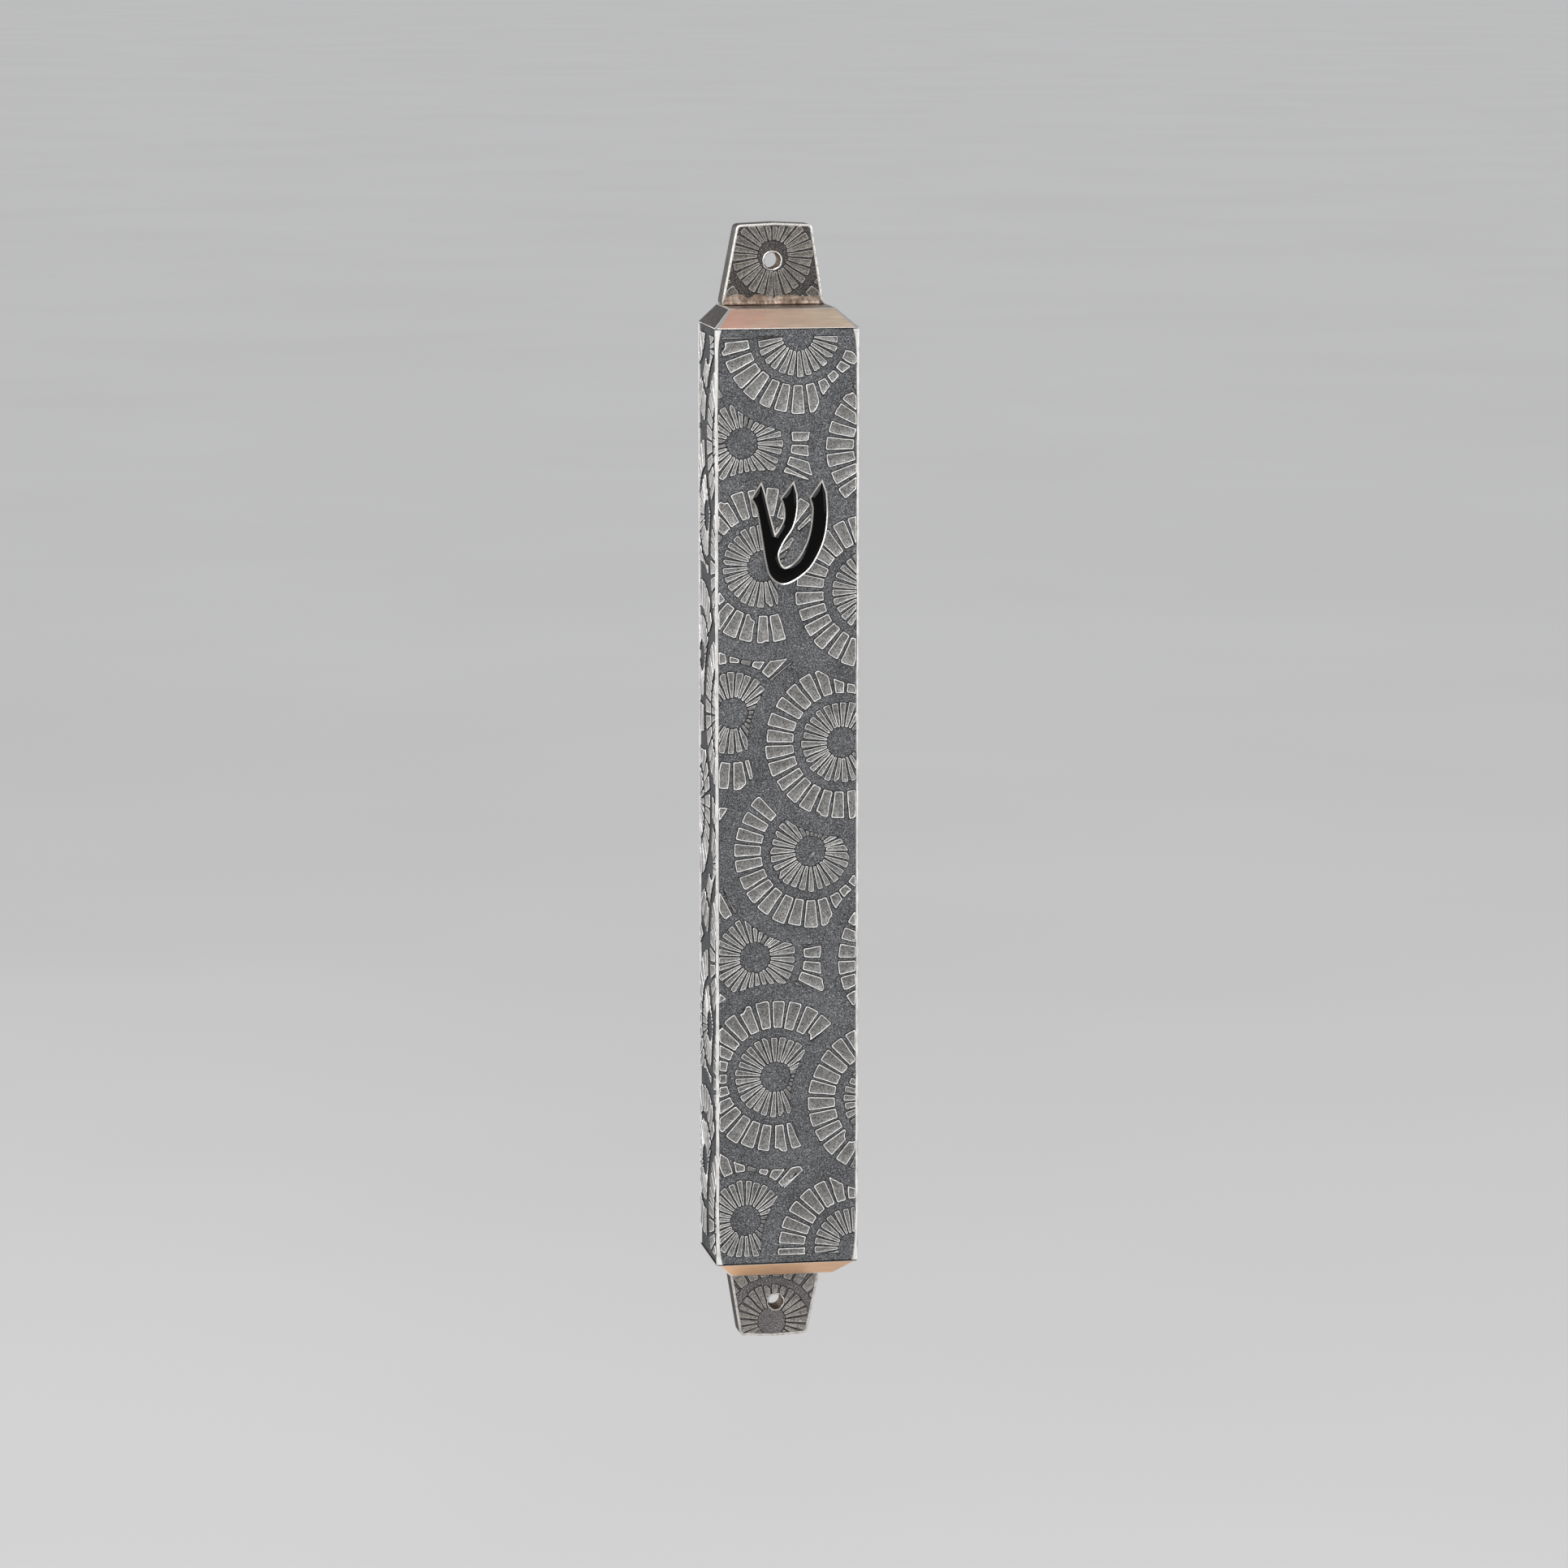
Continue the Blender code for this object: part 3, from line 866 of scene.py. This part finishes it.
def make_channel(finishes):
    """Front and sides: the folded sheet with its etched floor, polished folds and plain inside."""
    made = bmesh.new()
    loops = []
    for step in range(BODY_STEPS + 1):
        z = -HALF_HEIGHT + 2 * HALF_HEIGHT * step / BODY_STEPS
        outline, marks = channel_profile(z)
        loops.append(ring_of(made, [(x, y, z) for x, y in outline]))
    skin(made, loops, lambda index: marks[index])
    for loop in (loops[0], loops[-1]):
        # An end face is one strip between the outer points and the inner walls.
        outer = loop[:-4]
        inner = loop[:-5:-1]
        left = outer[: len(outer) // 2]
        right = outer[len(outer) // 2 :]
        for corners in (
            left + [inner[1], inner[0]],
            [inner[3], inner[2]] + right,
            [left[-1], right[0], inner[2], inner[1]],
        ):
            made.faces.new(corners).material_index = PLAIN
    finished("etched_channel", made, finishes, "case", ["case_channel"])


def make_back(finish):
    """Back sheet, hammered almost flat, with its edges rubbed down."""
    made = bmesh.new()
    grid = []
    for row in range(BACK_ROWS + 1):
        z = BACK.low.z + BACK.size.z * row / BACK_ROWS
        line = []
        for column in range(BACK_COLUMNS + 1):
            x = BACK.low.x + BACK.size.x * column / BACK_COLUMNS
            edge = min(x - BACK.low.x, BACK.high.x - x, z - BACK.low.z, BACK.high.z - z)
            dip = 0.05 * math.exp(-edge / 0.25) + abs(wobble((x, 0, z), 3.0, 0.03))
            line.append(made.verts.new((x, -0.02 - dip, z)))
        grid.append(line)
    for low, high in zip(grid, grid[1:]):
        for index in range(BACK_COLUMNS):
            made.faces.new((low[index], high[index], high[index + 1], low[index + 1]))
    right = [line[-1] for line in grid[1:]]
    left = [line[0] for line in grid[-2:0:-1]]
    border = grid[0] + right + grid[-1][-2::-1] + left
    inner = ring_of(made, [(vert.co.x, BACK.low.y, vert.co.z) for vert in border])
    bridge(made, border, inner)
    made.faces.new(inner)
    finished("back_plate", made, [finish], "case", ["back_sheet"])


def make_back_seam(name, side, finish):
    """The solder along one long edge of the back sheet."""
    made = bmesh.new()
    arc_steps = 6
    margin = 0.3
    loops = []
    for row in range(BODY_STEPS + 1):
        z = BACK.low.z + margin + (BACK.size.z - 2 * margin) * row / BODY_STEPS
        middle = side * (BACK.high.x + SEAM / 2) + wobble((0, side, z), 2.0, 0.12)
        half = 0.26 + wobble((3, side, z), 1.3, 0.14)
        rise = 0.03 + wobble((7, side, z), 0.9, 0.02)
        arc = [spoke(math.pi * index / arc_steps) for index in range(arc_steps + 1)]
        loops.append(ring_of(made, [(middle + half * way.x, -0.055 + rise * way.y, z) for way in arc]))
    skin(made, loops)
    ends(made, loops)
    finished(name, made, [finish], "case")


# Caps and tabs

CAP_FRONT, CAP_SIDE, CAP_EDGE, CAP_FLAT = range(4)
# Each station is (share of the way from the seam to the flat, inset).
CAP_STATIONS = (
    (0.0, 0.03),
    (0.012, 0.006),
    (0.025, 0.0),
    (0.35, 0.0),
    (0.65, 0.0),
    (0.95, 0.0),
    (0.98, 0.015),
    (1.0, 0.07),
)
CAP_LAPS = (0.35, 0.9, 1.6, 2.4)
# The painted warm reflection on each front bevel, from left to right.
TOP_CAP_REFLECTED_TONES = (
    (0.85, 0.47, 0.36),
    (0.82, 0.5, 0.38),
    (0.78, 0.57, 0.42),
    (0.8, 0.62, 0.46),
    (0.86, 0.7, 0.53),
)
BOTTOM_CAP_REFLECTED_TONES = (
    (0.98, 0.58, 0.3),
    (0.9, 0.52, 0.26),
    (0.8, 0.46, 0.24),
    (0.7, 0.41, 0.22),
)


def cap_outline(half_width, front, back, radius):
    corners = [
        (-half_width, back, CAP_BACK_RADIUS),
        (-half_width, front, radius),
        (half_width, front, radius),
        (half_width, back, CAP_BACK_RADIUS),
    ]
    return rounded(corners, CAP_CORNER_STEPS)


def cap_finish(index):
    """What a side quad of a cap is made of, by its number round the outline."""
    corner, step = divmod(index, CAP_CORNER_STEPS + 1)
    if step < CAP_CORNER_STEPS:
        return CAP_EDGE if corner in (1, 2) else CAP_SIDE
    return (CAP_SIDE, CAP_FRONT, CAP_SIDE, CAP_FLAT)[corner]


def make_cap(name, box, upward, finishes, body, replaced, seed):
    """An end plate with sloping front and sides; upward is 1 for the top one and -1 for the other."""
    made = bmesh.new()
    seam = CHANNEL.high.z + SEAM if upward > 0 else box.high.z
    far = box.high.z if upward > 0 else box.low.z
    base = (HALF_WIDTH, FRONT, CAP_SEAM_RADIUS)
    flat = (HALF_WIDTH - CAP_SIDE_SLOPE, FRONT + CAP_FRONT_SLOPE, CAP_FLAT_RADIUS)
    loops = []
    for share, inset in CAP_STATIONS:
        half_width, front, radius = (a + (b - a) * share for a, b in zip(base, flat))
        outline = cap_outline(half_width - inset, front + inset, -inset / 2, radius)
        loops.append(ring_of(made, [(point.x, point.y, seam + (far - seam) * share) for point in outline]))
    skin(made, loops[:3], CAP_EDGE)
    skin(made, loops[2:-2], cap_finish)
    skin(made, loops[-3:], CAP_EDGE)
    laps = [loops[-1]]
    for lap in CAP_LAPS:
        outline = cap_outline(flat[0] - lap, flat[1] + lap, -min(lap, 0.5), max(flat[2] - lap * 0.1, 0.1))
        points = []
        for x, y in outline:
            lump = wobble((x, y, seed), 0.6, 0.05) + wobble((x, y, seed + 9), 0.25, 0.02)
            points.append((x, y, far - upward * (0.03 + abs(lump))))
        laps.append(ring_of(made, points))
    skin(made, laps, CAP_FLAT)
    made.faces.new(laps[-1]).material_index = CAP_FLAT
    under = [loops[0]]
    if upward > 0:
        inset = SHEET + SPIGOT_CLEARANCE
        outline = cap_outline(HALF_WIDTH - inset, FRONT + inset, -inset, 0.3)
        under += [ring_of(made, [(x, y, z) for x, y in outline]) for z in (seam, box.low.z)]
    skin(made, under, CAP_SIDE)
    made.faces.new(under[-1]).material_index = CAP_SIDE
    finished(name, made, finishes, body, replaced)


def cast(outline, centre, angle):
    """Where the ray from centre at that angle leaves a convex outline."""
    for start, end in sides(outline):
        hit = geometry.intersect_line_line_2d(centre, centre + spoke(angle, 40.0), start, end)
        if hit is not None:
            return hit
    return centre + spoke(angle)


TAB_HOLE, TAB_EDGE, TAB_GROUND, TAB_SIDE, TAB_BACK = range(5)


def make_tab(name, shape, finishes, body, replaced):
    """A nail tab with its drilled hole: a plate with an etched front inside a polished strip."""
    root, tip, length = shape["root"], shape["tip"], shape["length"]
    shoulder = length - 0.2
    corners = [
        (-root[0], 0.0, 0.12),
        (root[1], 0.0, 0.12),
        (tip[1], shoulder, 0.55),
        (0.0, length, 2.0),
        (-tip[0], shoulder, 0.55),
    ]
    outline = rounded(corners, 7)
    front = -TAB_THICKNESS
    centre = Vector(shape["hole"])
    radius = shape["hole_radius"]
    # Right round the plate's section, from the back of the hole: (follows, size, y, finish).
    section = (
        ("hole", radius, 0.0, TAB_HOLE),
        ("hole", radius, front + 0.3, TAB_HOLE),
        ("hole", radius + 0.03, front + 0.14, TAB_EDGE),
        ("hole", radius + 0.1, front + 0.08, TAB_EDGE),
        ("hole", radius + 0.2, front + TAB_ETCH, TAB_GROUND),
        ("edge", TAB_STRIP + STRIP_EDGE, front + TAB_ETCH, TAB_EDGE),
        ("edge", TAB_STRIP, front + 0.01, TAB_EDGE),
        ("edge", 0.07, front, TAB_EDGE),
        ("edge", 0.02, front + 0.02, TAB_EDGE),
        ("edge", 0.0, front + 0.07, TAB_SIDE),
        ("edge", 0.0, front / 2, TAB_SIDE),
        ("edge", 0.0, -0.08, TAB_EDGE),
        ("edge", 0.08, 0.0, TAB_BACK),
        ("hole", radius + 0.12, 0.0, TAB_HOLE),
    )
    made = bmesh.new()
    loops = []
    for follows, size, y, _ in section:
        moved = offset_outline(outline, size) if follows == "edge" and size > 0 else outline
        points = []
        for ray in range(TAB_RAYS):
            angle = math.tau * ray / TAB_RAYS
            if follows == "edge":
                point = cast(moved, centre, angle)
            else:
                worn = wobble((*spoke(angle), shape["seed"]), 0.5, 0.06) if size > radius else 0.0
                point = centre + spoke(angle, size + worn)
            points.append((point.x, y, shape["root_z"] + shape["direction"] * point.y))
        loops.append(ring_of(made, points))
    for (low, high), (_, _, _, finish) in zip(sides(loops), section):
        bridge(made, low, high, finish)
    finished(name, made, finishes, body, replaced)


def make_tab_relief(name, shape, finishes, body):
    """The tab's own etched rosette, cut off along its flanks and round its hole."""
    root, tip, length = shape["root"], shape["tip"], shape["length"]
    made = bmesh.new()

    def place(u, z, height):
        y = TAB_ETCH - TAB_THICKNESS - height * TAB_ETCH / RELIEF
        return Vector((u, y, shape["root_z"] + shape["direction"] * z))

    field = (-tip[0] - 2.5, TAB_STRIP, tip[1] + 2.5, length - TAB_STRIP - 0.15)
    masks = [(Vector(shape["hole"]), shape["hole_radius"] + 0.24)]
    for side, foot, top in ((-1, root[0], tip[0]), (1, root[1], tip[1])):
        # A very large circle stands in for the tab's straight flank.
        outward = Vector((side, (foot - top) / length)).normalized()
        flank = Vector((side * (foot - TAB_STRIP - 0.05), 0.0))
        masks.append((flank + outward * 400.0, 400.0))
    chance = random.Random(shape["seed"])
    centre = Vector(shape["rosette"])
    for segment in rosette_segments(centre, field, masks, chance, shape["rings"], TAB_SEGMENTS):
        raise_segment(made, segment, place)
    finished(name, made, finishes, body)


def make_fillet(name, span, root_z, upward, size, finish, body, seed):
    """The lumpy line of solder along a tab's root. size is (how far out, how tall)."""
    made = bmesh.new()
    loops = []
    steps = 120
    arc_steps = 7
    y = TOP_TAB.low.y
    inside_y = y + 0.25
    for step in range(steps + 1):
        x = span[0] + (span[1] - span[0]) * step / steps
        taper = min(1.0, min(step, steps - step) / 6)
        lump = 1 + wobble((x, seed, 0), 1.1, 0.5) + wobble((x, seed, 4), 0.35, 0.2)
        rise = 1 + wobble((x, seed, 8), 1.4, 0.45) + wobble((x, seed, 2), 0.4, 0.2)
        out = taper * size[0] * lump
        tall = taper * size[1] * rise
        points = [(x, inside_y, root_z - upward * 0.1)]
        for index in range(arc_steps + 1):
            way = spoke(math.pi / 2 * index / arc_steps)
            points.append((x, y - 0.03 - out * (1 - way.y), root_z + upward * (0.02 + tall * (1 - way.x))))
        points.append((x, inside_y, root_z + upward * tall * 1.02))
        loops.append(ring_of(made, points))
    skin(made, loops)
    ends(made, loops)
    finished(name, made, [finish], body, smooth_degrees=60)


# Letter


def curve_through(points, steps=9):
    """The closed outline through (x, z, sharp) points, smooth at all but the sharp ones."""
    outline = []
    count = len(points)
    for index in range(count):
        start = Vector(points[index][:2])
        end = Vector(points[(index + 1) % count][:2])
        before = start if points[index][2] else Vector(points[index - 1][:2])
        after = end if points[(index + 1) % count][2] else Vector(points[(index + 2) % count][:2])
        handles = start + (end - before) / 6, end - (after - start) / 6
        outline += geometry.interpolate_bezier(start, *handles, end, steps + 1)[:-1]
    return outline


def inset_points(points, distance):
    """The (x, z, sharp) points of an outline moved inwards by distance, with full mitres."""
    moved = offset_outline([Vector(point[:2]) for point in points], distance, 0.0)
    return [(*spot, sharp) for spot, (_, _, sharp) in zip(moved, points)]


def nearest(point, outline):
    """How far a point is from a closed outline."""
    best = math.inf
    for start, end in sides(outline):
        way = end - start
        length = way.length_squared
        share = min(1.0, max(0.0, (point - start).dot(way) / length)) if length else 0.0
        best = min(best, (point - start - way * share).length)
    return best


def inside(point, outline):
    """Whether a point lies in a closed outline."""
    found = False
    for start, end in sides(outline):
        if (start.y > point.y) != (end.y > point.y):
            cross = start.x + (point.y - start.y) / (end.y - start.y) * (end.x - start.x)
            found ^= point.x < cross
    return found


def on_letter(point, rise):
    """A point of the letter's plane as a place on the case, rise in front of its face."""
    return (LETTER_PLACE[0] + point.x, FRONT - rise, LETTER_PLACE[1] + point.y)


def make_letter_border(finish):
    """The silver border of the letter, with a rounded crest."""
    made = bmesh.new()
    section = (
        (0.0, -0.13),
        (0.0, LETTER_HEIGHT - 0.1),
        (0.02, LETTER_HEIGHT - 0.03),
        (0.05, LETTER_HEIGHT),
        (0.07, LETTER_HEIGHT),
        (0.11, LETTER_HEIGHT - 0.05),
        (LETTER_BORDER, LETTER_HEIGHT - 0.12),
        (LETTER_BORDER, 0.05),
    )
    loops = []
    for inset, rise in section:
        outline = curve_through(inset_points(LETTER_OUTLINE, inset))
        loops.append(ring_of(made, [on_letter(point, rise) for point in outline]))
    skin(made, loops + loops[:1])
    finished("letter_frame", made, [finish], "case", ["letter_border"])


def make_enamel(finish):
    """The enamel that fills the border: a face of small triangles, domed away from the edge."""
    outline = curve_through(inset_points(LETTER_OUTLINE, ENAMEL_INSET), 6)
    points = list(outline)
    low_x, low_z, wide, tall = -4.7, -6.2, 9.4, 12.4
    for row in range(int(tall / ENAMEL_SPACING)):
        for column in range(int(wide / ENAMEL_SPACING)):
            shift = ENAMEL_SPACING / 2 if row % 2 else 0
            point = Vector((low_x + column * ENAMEL_SPACING + shift, low_z + row * ENAMEL_SPACING))
            if inside(point, outline) and nearest(point, outline) > ENAMEL_SPACING * 0.4:
                points.append(point)
    edges = [(index, (index + 1) % len(outline)) for index in range(len(outline))]
    flat, _, faces, _, _, _ = geometry.delaunay_2d_cdt(points, edges, [], 1, 1e-5)
    made = bmesh.new()
    tops = []
    for point in flat:
        slope = 1 - min(nearest(point, outline) / ENAMEL_SHOULDER, 1.0)
        rise = LETTER_HEIGHT - ENAMEL_DOME * slope**2
        tops.append(made.verts.new(on_letter(point, rise)))
    for face in faces:
        made.faces.new([tops[index] for index in face])
    rim = [edge for edge in made.edges if len(edge.link_faces) == 1]
    grown = bmesh.ops.extrude_edge_only(made, edges=rim)["geom"]
    for vert in [item for item in grown if isinstance(item, bmesh.types.BMVert)]:
        vert.co.y = FRONT + 0.05
    bmesh.ops.holes_fill(made, edges=[edge for edge in made.edges if len(edge.link_faces) == 1])
    finished("letter_fill", made, [finish], "case", ["letter_enamel"], 75)


# Plug and parchment


def make_collar(finish):
    """The plug's sleeve: a thin band of sheet with a rounded lip, brazed to the bottom cap."""
    made = bmesh.new()
    low, high = COLLAR.low.z, COLLAR.high.z
    # Up the outside, over the lip and down the inside: (inset, z).
    section = (
        (0.0, low),
        (0.0, low + 2.0),
        (0.0, low + 4.5),
        (0.0, high - 0.25),
        (0.06, high - 0.08),
        (0.2, high),
        (0.42, high),
        (0.55, high - 0.08),
        (COLLAR_WALL, high - 0.25),
        (COLLAR_WALL, low + 3.0),
        (COLLAR_WALL, low),
    )
    loops = []
    for inset, z in section:
        x = COLLAR.high.x - inset
        y = COLLAR.size.y / 2 - inset
        corners = [(px, py, COLLAR_RADIUS - inset) for px, py in ((-x, -y), (x, -y), (x, y), (-x, y))]
        outline = rounded(corners, 8)
        loops.append(ring_of(made, [(point.x, COLLAR.middle.y + point.y, z) for point in outline]))
    skin(made, loops + loops[:1])
    finished("collar_sleeve", made, [finish], "plug", ["plug_collar"])


def make_wound(name, heights, steps, point_of, finishes, replaced):
    """A sheet wound on itself. point_of(step, face, z) is on its outside for face 1, else its inside."""
    made = bmesh.new()
    loops = []
    for z in heights:
        outside = [point_of(step, 1, z) for step in range(steps + 1)]
        inner = [point_of(step, 0, z) for step in range(steps, -1, -1)]
        loops.append(ring_of(made, outside + inner))
    skin(made, loops)
    for loop in (loops[0], loops[-1]):
        for index in range(steps):
            face = made.faces.new((loop[index], loop[index + 1], loop[-2 - index], loop[-1 - index]))
            face.material_index = len(finishes) - 1
    finished(name, made, finishes, "scroll", [replaced], 50)


def make_scroll(finish, edge_finish):
    """The parchment, wound as one spiral sheet with a slightly uneven edge."""
    low, high = SCROLL.low.z, SCROLL.high.z
    outer = SCROLL.size.x / 2
    climb = (outer - SCROLL_SHEET - SCROLL_CORE) / SCROLL_TURNS
    steps = SCROLL_TURNS * SCROLL_STEPS_PER_TURN

    def point_of(step, face, z):
        angle = math.tau * step / SCROLL_STEPS_PER_TURN
        radius = SCROLL_CORE + climb * step / SCROLL_STEPS_PER_TURN + SCROLL_SHEET * face
        ripple = wobble((*spoke(angle, radius), z * 0.05), 2.5, 0.04)
        radius = min(radius - abs(ripple) * (step / steps) / 2, outer - 0.002)
        inward = (z == low) - (z == high)
        lift = inward * 0.25 * abs(wobble((angle * 0.7, 3, 0), 1.3, 1.0))
        spot = SCROLL.middle.xy + spoke(angle, radius)
        return (spot.x, spot.y, z + lift)

    heights = [low, low + 8.0, low + 25.0, (low + high) / 2, high - 25.0, high - 8.0, high]
    finishes = [finish, edge_finish]
    make_wound("rolled_parchment", heights, steps, point_of, finishes, "parchment_scroll")


def make_band(finish):
    """The paper band: one strip wrapped round with its end lapped over its start."""
    start_radius = BAND.size.x / 2 - 2 * BAND_SHEET - 0.03

    def point_of(step, face, z):
        share = step / BAND_STEPS
        radius = start_radius + (BAND_SHEET + 0.02) * share + BAND_SHEET * face
        spot = BAND.middle.xy + spoke(BAND_START + math.tau * BAND_TURNS * share, radius)
        return (spot.x, spot.y, z)

    low, high = BAND.low.z, BAND.high.z
    heights = [low, low + 0.2, (low + high) / 2, high - 0.2, high]
    make_wound("wrapped_band", heights, BAND_STEPS, point_of, [finish], "paper_band")


# Stage


def linked(name, data):
    """A new object in the scene, turned by a quaternion."""
    made = bpy.data.objects.new(name, data)
    bpy.context.scene.collection.objects.link(made)
    made.rotation_mode = "QUATERNION"
    return made


def make_floor():
    made = bmesh.new()
    bmesh.ops.create_grid(made, x_segments=FLOOR_SQUARES, y_segments=FLOOR_SQUARES, size=FLOOR_HALF * MM)
    bmesh.ops.translate(made, vec=(0, 0, FLOOR_Z * MM), verts=made.verts)
    mesh = bpy.data.meshes.new("studio_floor")
    made.to_mesh(mesh)
    made.free()
    mesh.materials.append(floor_material())
    floor = linked("studio_floor", mesh)


def make_softbox(name, place, size, power, colour, spread_degrees):
    """A rectangular soft light that faces the case, hidden from the camera."""
    light = bpy.data.lights.new(name, "AREA")
    light.shape = "RECTANGLE"
    light.size = size[0] * MM
    light.size_y = size[1] * MM
    light.energy = power
    light.color = colour
    light.spread = math.radians(spread_degrees)
    made = linked(name, light)
    made.location = Vector(place) * MM
    made.rotation_quaternion = (-Vector(place)).to_track_quat("-Z", "Y")
    made.visible_camera = False


def make_lights():
    world = bpy.data.worlds.new("studio")
    world.use_nodes = True
    sky = world.node_tree.nodes["Background"]
    sky.inputs["Color"].default_value = (*SKY_COLOUR, 1.0)
    sky.inputs["Strength"].default_value = SKY_STRENGTH
    bpy.context.scene.world = world
    sun = bpy.data.lights.new("soft_sun", "SUN")
    sun.energy = SUN_STRENGTH
    sun.angle = math.radians(SUN_DEGREES)
    linked("soft_sun", sun).rotation_quaternion = Vector(SUN_WAY).to_track_quat("-Z", "Y")
    for name, settings in SOFTBOXES.items():
        make_softbox(name, *settings)


def make_camera():
    bpy.context.scene.view_settings.view_transform = "Standard"
    yaw, pitch = CAMERA_YAW, CAMERA_PITCH
    right = Vector((math.cos(yaw), -math.sin(yaw), 0))
    ahead = Vector((math.sin(yaw) * math.cos(pitch), math.cos(yaw) * math.cos(pitch), -math.sin(pitch)))
    up = right.cross(ahead)
    data = bpy.data.cameras.new("camera")
    data.sensor_fit = "HORIZONTAL"
    data.sensor_width = 36.0
    data.lens = CAMERA_LENS
    data.clip_start = 0.01
    data.clip_end = 200.0
    made = linked("camera", data)
    made.location = (right * CAMERA_RIGHT + up * CAMERA_UP - ahead * CAMERA_DISTANCE) * MM
    made.rotation_quaternion = ahead.to_track_quat("-Z", "Y")
    bpy.context.scene.camera = made


# The case

# The dark skirt round every segment: oxide, darkened further as painted shade of the gaps.
OXIDE_AND_PAINTED_SHADE = oxide_and_painted_shade()
SEGMENT_TOP = segment_top("segment_top")
# Segment rims: polished edges, near white and only a little metallic, so they show a painted highlight all
# round.
RIM_POLISH_AND_HIGHLIGHT = bright_metal("segment_rim_polish_and_highlight", (1.0, 0.99, 0.97), 0.3, (0.6, 0.6, 0.6), 0.55, 0.3)
PLAIN_BACK = brushed("brushed_back", (0.4, 0.39, 0.37), (0.68, 0.66, 0.63), (1, 1, 0.08))
SOLDER = solder_metal()


def build_body():
    """The folded channel with its relief, the back sheet and the two back seams."""
    ground = etched_ground("etched_ground")
    fold = bright_metal("polished_fold", (0.92, 0.905, 0.88), 0.26, (1, 1, 0.35), 0.62, 0.6)
    plain = brushed("inner_sheet", (0.34, 0.33, 0.31), (0.6, 0.58, 0.55), (1, 1, 0.12))
    make_channel([ground, SEGMENT_TOP, fold, plain])
    top = HALF_HEIGHT - END_MARGIN
    front = HALF_WIDTH - FRONT_STRIP - STRIP_EDGE
    near = HALF_WIDTH + SIDE_STRIP + STRIP_EDGE
    far = HALF_WIDTH + DEPTH - BACK_MARGIN
    finishes = [OXIDE_AND_PAINTED_SHADE, SEGMENT_TOP, RIM_POLISH_AND_HIGHLIGHT]
    make_relief("etched_front", on_front, (-front, -top, front, top), finishes, 11, SPECKS)
    make_relief("etched_left", on_left, (-far, -top, -near, top), finishes, 12)
    make_relief("etched_right", on_right, (near, -top, far, top), finishes, 13)
    make_back(PLAIN_BACK)
    make_back_seam("back_seam_left", -1, SOLDER)
    make_back_seam("back_seam_right", 1, SOLDER)


def build_caps():
    side = brushed("cap_side", (0.085, 0.08, 0.076), (0.19, 0.178, 0.168), (0.3, 1, 1), 0.4, 0.8, 0.3)
    edge = bright_metal("cap_edge", (0.95, 0.9, 0.85), 0.22)
    flat = brushed("cap_flat", (0.14, 0.11, 0.09), (0.5, 0.43, 0.37), (0.35, 1, 1), 0.32)
    top_finishes = [painted_reflection_bevel("top_cap_front_painted_reflection", TOP_CAP_REFLECTED_TONES), side, edge, flat]
    low_finishes = [painted_reflection_bevel("bottom_cap_front_painted_reflection", BOTTOM_CAP_REFLECTED_TONES), side, edge, flat]
    make_cap("top_cap_plate", TOP_CAP, 1, top_finishes, "case", ["top_cap"], 3)
    make_cap("bottom_cap_plate", BOTTOM_CAP, -1, low_finishes, "plug", ["bottom_cap"], 4)


def build_tabs():
    """Both tabs, each with its relief and the solder at its root."""
    hole = hole_stain()
    edge = bright_metal("tab_edge", (0.74, 0.71, 0.67), 0.3, (1, 1, 1), 0.6)
    side = brushed("tab_side", (0.08, 0.076, 0.072), (0.19, 0.182, 0.175), (1, 1, 0.3), 0.5, 0.7, 0.3)
    # Tab segment rims: polished edges, pale and only a little metallic, so they show a painted highlight all
    # round.
    rim = bright_metal("tab_rim_polish_and_highlight", (0.56, 0.525, 0.49), 0.38, (0.5, 0.5, 0.5), 0.4, 0.4)
    top_ground = etched_ground("top_tab_ground", (0.6, 0.54, 0.48))
    low_ground = etched_ground("bottom_tab_ground", (1.5, 1.42, 1.32))
    top_relief = [OXIDE_AND_PAINTED_SHADE, segment_top("top_tab_top", (0.74, 0.69, 0.64)), rim]
    low_relief = [OXIDE_AND_PAINTED_SHADE, segment_top("bottom_tab_top", (1.25, 1.2, 1.13)), rim]
    top_finishes = [hole, edge, top_ground, side, PLAIN_BACK]
    low_finishes = [hole, edge, low_ground, side, PLAIN_BACK]
    make_tab("top_nail_tab", TOP_TAB_SHAPE, top_finishes, "case", ["top_tab"])
    make_tab_relief("top_nail_tab_relief", TOP_TAB_SHAPE, top_relief, "case")
    make_tab("bottom_nail_tab", BOTTOM_TAB_SHAPE, low_finishes, "plug", ["bottom_tab"])
    make_tab_relief("bottom_nail_tab_relief", BOTTOM_TAB_SHAPE, low_relief, "plug")
    make_fillet("top_solder", (-6.0, 5.75), TOP_CAP.high.z, 1, (0.55, 1.0), SOLDER, "case", 31)
    make_fillet("bottom_solder", (-5.3, 5.5), BOTTOM_CAP.low.z, -1, (0.2, 0.25), SOLDER, "plug", 32)


def build_inside():
    """What the case hides: the plug's collar, the parchment and its band."""
    make_collar(brushed("collar_sheet", (0.42, 0.4, 0.38), (0.7, 0.68, 0.64), (0.15, 0.15, 1)))
    make_scroll(
        fibre_sheet("parchment_skin", (0.72, 0.58, 0.36), (0.86, 0.76, 0.56), (1, 1, 0.35), 0.62, 0.12),
        fibre_sheet("parchment_edge", (0.6, 0.46, 0.27), (0.78, 0.66, 0.45), (1, 1, 1), 0.75, 0.6),
    )
    make_band(fibre_sheet("band_paper", (0.8, 0.78, 0.72), (0.92, 0.9, 0.85), (0.5, 0.5, 1), 0.8, 0.25))


build_body()
build_caps()
build_tabs()
make_letter_border(bright_metal("letter_silver", (0.93, 0.9, 0.87), 0.2))
make_enamel(black_enamel())
build_inside()
make_floor()
make_lights()
make_camera()
